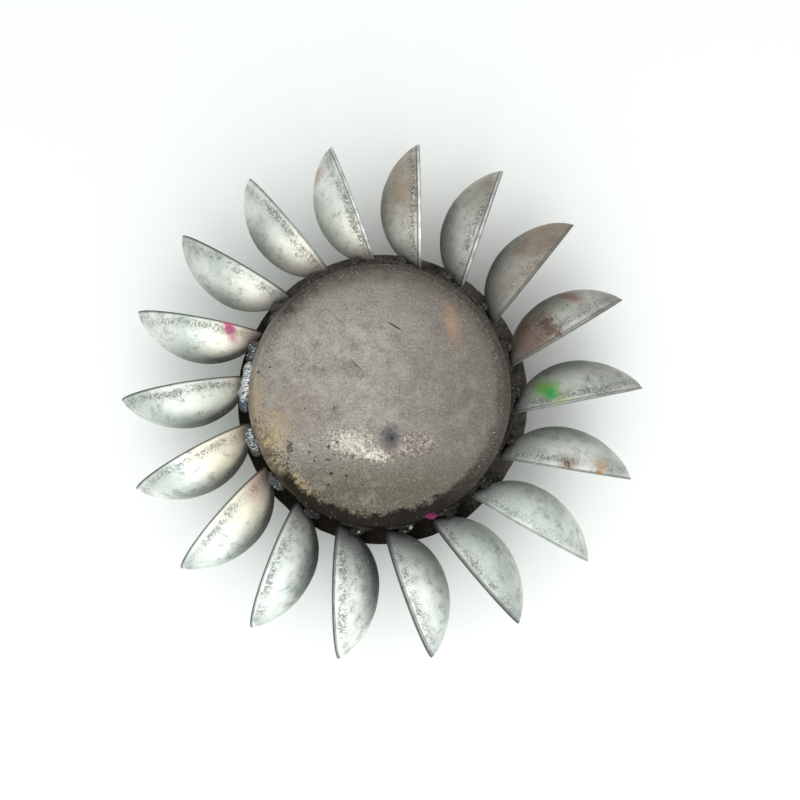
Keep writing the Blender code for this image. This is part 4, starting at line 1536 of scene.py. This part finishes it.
# %% [markdown]
# ## The disc's ragged rim
# A flame cutter leaves a wavering rim, and the disc's shows dark between the cups. Its points are
# moved inwards by a noise, most at the very rim, so it never grows past its solid.
# %% Make the disc and the boss
FLAME_DEPTH = 1.5 * MM
FLAME_BAND = 3.0 * MM
LONG_WAVE_MM = 17.0
SHORT_WAVE_MM = 5.0


def waver_rim(mesh):
    """Move the outer rim of the disc inwards by about a millimetre, unevenly."""
    for vertex in mesh.vertices:
        here = vertex.co
        rim = math.hypot(here.x, here.y)
        at_rim = max(0.0, 1.0 - (DISC_RADIUS - rim) / FLAME_BAND)
        flame = noise.noise(Vector((here.x, here.y, 0.0)) * per(LONG_WAVE_MM))
        flame += 0.5 * noise.noise(here * per(SHORT_WAVE_MM))
        inwards = (0.75 + 0.5 * flame) * FLAME_DEPTH * at_rim / max(rim, MM)
        vertex.co = here - Vector((here.x, here.y, 0.0)) * inwards


disc_plate = make_ring("disc_plate", "back_disc", DISC_RADIUS, disc_low[2], disc_high[2], disc_finish)
waver_rim(disc_plate.data)
boss_ring = make_ring("boss_ring", "shaft_boss", BOSS_RADIUS, boss_low[2], boss_high[2], boss_finish)
print("disc faces:", len(disc_plate.data.polygons), "boss faces:", len(boss_ring.data.polygons))

# %% [markdown]
# ## The two ring welds
# The same weld tree runs around the hub and around the boss, on circular paths in the corners.
# %% Make the ring welds
CORNER_BEAD = 2.0 * MM
CORNER_GAP = 1.4 * MM
PATH_STEPS = 240
RING_SHINE = 0.3


def ring_weld(name, node, radius, level, seed):
    """A rippled bead all the way round, in place of the plain ring."""
    angles = [math.tau * step / PATH_STEPS for step in range(PATH_STEPS + 1)]
    points = [(radius * math.cos(angle), radius * math.sin(angle), level) for angle in angles]
    piece = grow(name, weld_bead, {
        "Radius": CORNER_BEAD,
        "Step": 1.0 * MM,
        "Ripple Pitch": 2.6 * MM,
        "End Taper": 0.002,
        "Sides": 12,
        "Seed": seed,
        "Material": weld_finish,
    }, polyline("ring_path", points))
    set_fact(piece.data, "shine", RING_SHINE)
    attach(piece, "root")
    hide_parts(node)
    return piece


above_disc = disc_high[2] + CORNER_GAP
below_disc = disc_low[2] - CORNER_GAP
hub_ring_weld = ring_weld("hub_ring_weld", "hub_weld", HUB_RADIUS + CORNER_GAP, above_disc, 31.0)
boss_ring_weld = ring_weld("boss_ring_weld", "boss_weld", BOSS_RADIUS + CORNER_GAP, below_disc, 47.0)
print("ring weld faces:", len(hub_ring_weld.data.polygons))

# %% [markdown]
# ## Weld spatter
# Droplets of metal fly off while a bead is laid and freeze where they land. A tree scatters points
# over the hub, keeps those near the edge and most of all where a noise is high, and puts a small
# flattened ball on each. Scattering follows the real surface, so no droplet floats.
# %% Node group for the spatter and the spatter itself
DROPLET_FACES = 80
DROPLET_FLATNESS = 0.6
MOSTLY_SMALL = 2.5
BURST_SIZE_MM = 18.0
SPATTER_SHINE = 0.35


def make_spatter_tree():
    """Geometry Nodes: flattened droplets on the outer part of the surface given."""
    tree, given = start_tree("weld_spatter", {
        "Surface": "NodeSocketGeometry",
        "Inner Radius": FACE_RADIUS - 12.0 * MM,
        "Outer Radius": FACE_RADIUS + 3.0 * MM,
        "Lowest": MIDDLE - 6.0 * MM,
        "Density": 26000.0,
        "Smallest": 0.25 * MM,
        "Largest": 1.1 * MM,
        "Seed": 3,
        "Material": "NodeSocketMaterial",
    })
    parts = add(tree, "ShaderNodeSeparateXYZ", [add(tree, "GeometryNodeInputPosition")]).outputs
    flat = add(tree, "ShaderNodeCombineXYZ", [parts["X"], parts["Y"], 0.0])
    radius = add(tree, "ShaderNodeVectorMath", [flat], operation="LENGTH")
    share = add(tree, "ShaderNodeMapRange", [radius, given["Inner Radius"], given["Outer Radius"]])
    bursts = add(tree, "ShaderNodeTexNoise", {"Scale": per(BURST_SIZE_MM), "Detail": 2.0})
    bursts = add(tree, "ShaderNodeMapRange", [bursts, 0.42, 0.62, 0.05, 1.0])
    share = add(tree, "ShaderNodeMath", [share, bursts], operation="MULTIPLY")
    high_up = add(tree, "ShaderNodeMath", [parts["Z"], given["Lowest"]], operation="GREATER_THAN")
    share = add(tree, "ShaderNodeMath", [share, high_up], operation="MULTIPLY")
    points = add(tree, "GeometryNodeDistributePointsOnFaces", {
        "Mesh": given["Surface"],
        "Density": add(tree, "ShaderNodeMath", [share, given["Density"]], operation="MULTIPLY"),
        "Seed": given["Seed"],
    })
    draw = {"Min": 0.0, "Max": 1.0, "Seed": given["Seed"]}
    draw = add(tree, "FunctionNodeRandomValue", draw, data_type="FLOAT")
    draw = add(tree, "ShaderNodeMath", [draw, MOSTLY_SMALL], operation="POWER")
    size = add(tree, "ShaderNodeMapRange", [draw, 0.0, 1.0, given["Smallest"], given["Largest"]])
    low = add(tree, "ShaderNodeMath", [size, DROPLET_FLATNESS], operation="MULTIPLY")
    drops = add(tree, "GeometryNodeInstanceOnPoints", {
        "Points": points,
        "Instance": add(tree, "GeometryNodeMeshIcoSphere", {"Radius": 1.0, "Subdivisions": 2}),
        "Rotation": points.outputs["Rotation"],
        "Scale": add(tree, "ShaderNodeCombineXYZ", [size, size, low]),
    })
    end_tree(tree, drops, given["Material"])
    return tree


weld_spatter = make_spatter_tree()
spatter = grow("spatter", weld_spatter, {"Material": weld_finish}, hub_body.data.copy())
set_fact(spatter.data, "shine", SPATTER_SHINE)
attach(spatter, "root")
print("spatter droplets:", len(spatter.data.polygons) // DROPLET_FACES)

# %% [markdown]
# ## The floor
# A plain pale floor carries the shadow. It is so wide that its edge lies far outside the main
# picture, and reads as a horizon from the side. It is matt, so that it mirrors nothing.
# %% Floor
FLOOR = 12.0
floor_mesh = bpy.data.meshes.new("floor")
floor_corners = [(-FLOOR, -FLOOR, 0.0), (FLOOR, -FLOOR, 0.0), (FLOOR, FLOOR, 0.0), (-FLOOR, FLOOR, 0.0)]
floor_mesh.from_pydata(floor_corners, [], [(0, 1, 2, 3)])
floor = put_in_scene("floor", floor_mesh)
floor_paint = bpy.data.materials.new("pale_studio_floor")
floor_paint.use_nodes = True
floor_paint.node_tree.nodes.clear()
floor_look = {"Base Color": linear("E6E7E5"), "Roughness": 0.85}
floor_shader = add(floor_paint.node_tree, "ShaderNodeBsdfPrincipled", floor_look)
add(floor_paint.node_tree, "ShaderNodeOutputMaterial", {"Surface": floor_shader})
floor_mesh.materials.append(floor_paint)
print("floor:", 2 * FLOOR, "m wide")

# %% [markdown]
# ## The light
# The photograph was taken under an open, bright sky. So the sky here is bright overhead and less
# than half as bright at the horizon, which rounds the cups: their tops are light and their flanks
# dark. Two large soft lamps of the same power add the brighter lower edges. Both stand on the
# side of the picture's lower edge, one high and one low.
# %% Sky and lamps
SKY_AT_HORIZON = 0.60
SKY_OVERHEAD = 1.48
LAMP_SIZE = 1.0
LAMP_POWER = 6.0

world = bpy.data.worlds.new("studio")
world.use_nodes = True
sky = world.node_tree
sky.nodes.clear()
sky_parts = add(sky, "ShaderNodeSeparateXYZ", [add(sky, "ShaderNodeTexCoord").outputs["Generated"]])
rise = [sky_parts.outputs["Z"], 0.15, 0.85, SKY_AT_HORIZON, SKY_OVERHEAD]
glow = add(sky, "ShaderNodeMapRange", rise, interpolation_type="SMOOTHSTEP")
dome = add(sky, "ShaderNodeBackground", {"Color": linear("F0F3F2"), "Strength": glow})
add(sky, "ShaderNodeOutputWorld", {"Surface": dome})
bpy.context.scene.world = world
bpy.context.scene.view_settings.view_transform = "Standard"


def soft_lamp(name, place):
    """A square area lamp that looks at the middle of the part."""
    lamp = put_in_scene(name, bpy.data.lights.new(name, "AREA"))
    lamp.data.shape = "SQUARE"
    lamp.data.size = LAMP_SIZE
    lamp.data.energy = LAMP_POWER
    lamp.location = place
    aim = Vector((0.0, 0.0, MIDDLE)) - Vector(place)
    lamp.rotation_euler = aim.to_track_quat("-Z", "Y").to_euler()
    return lamp


lamps = [soft_lamp("key", (0.15, -0.95, 1.30)), soft_lamp("low", (0.15, -1.40, 0.60))]
print("lamps:", [lamp.name for lamp in lamps])
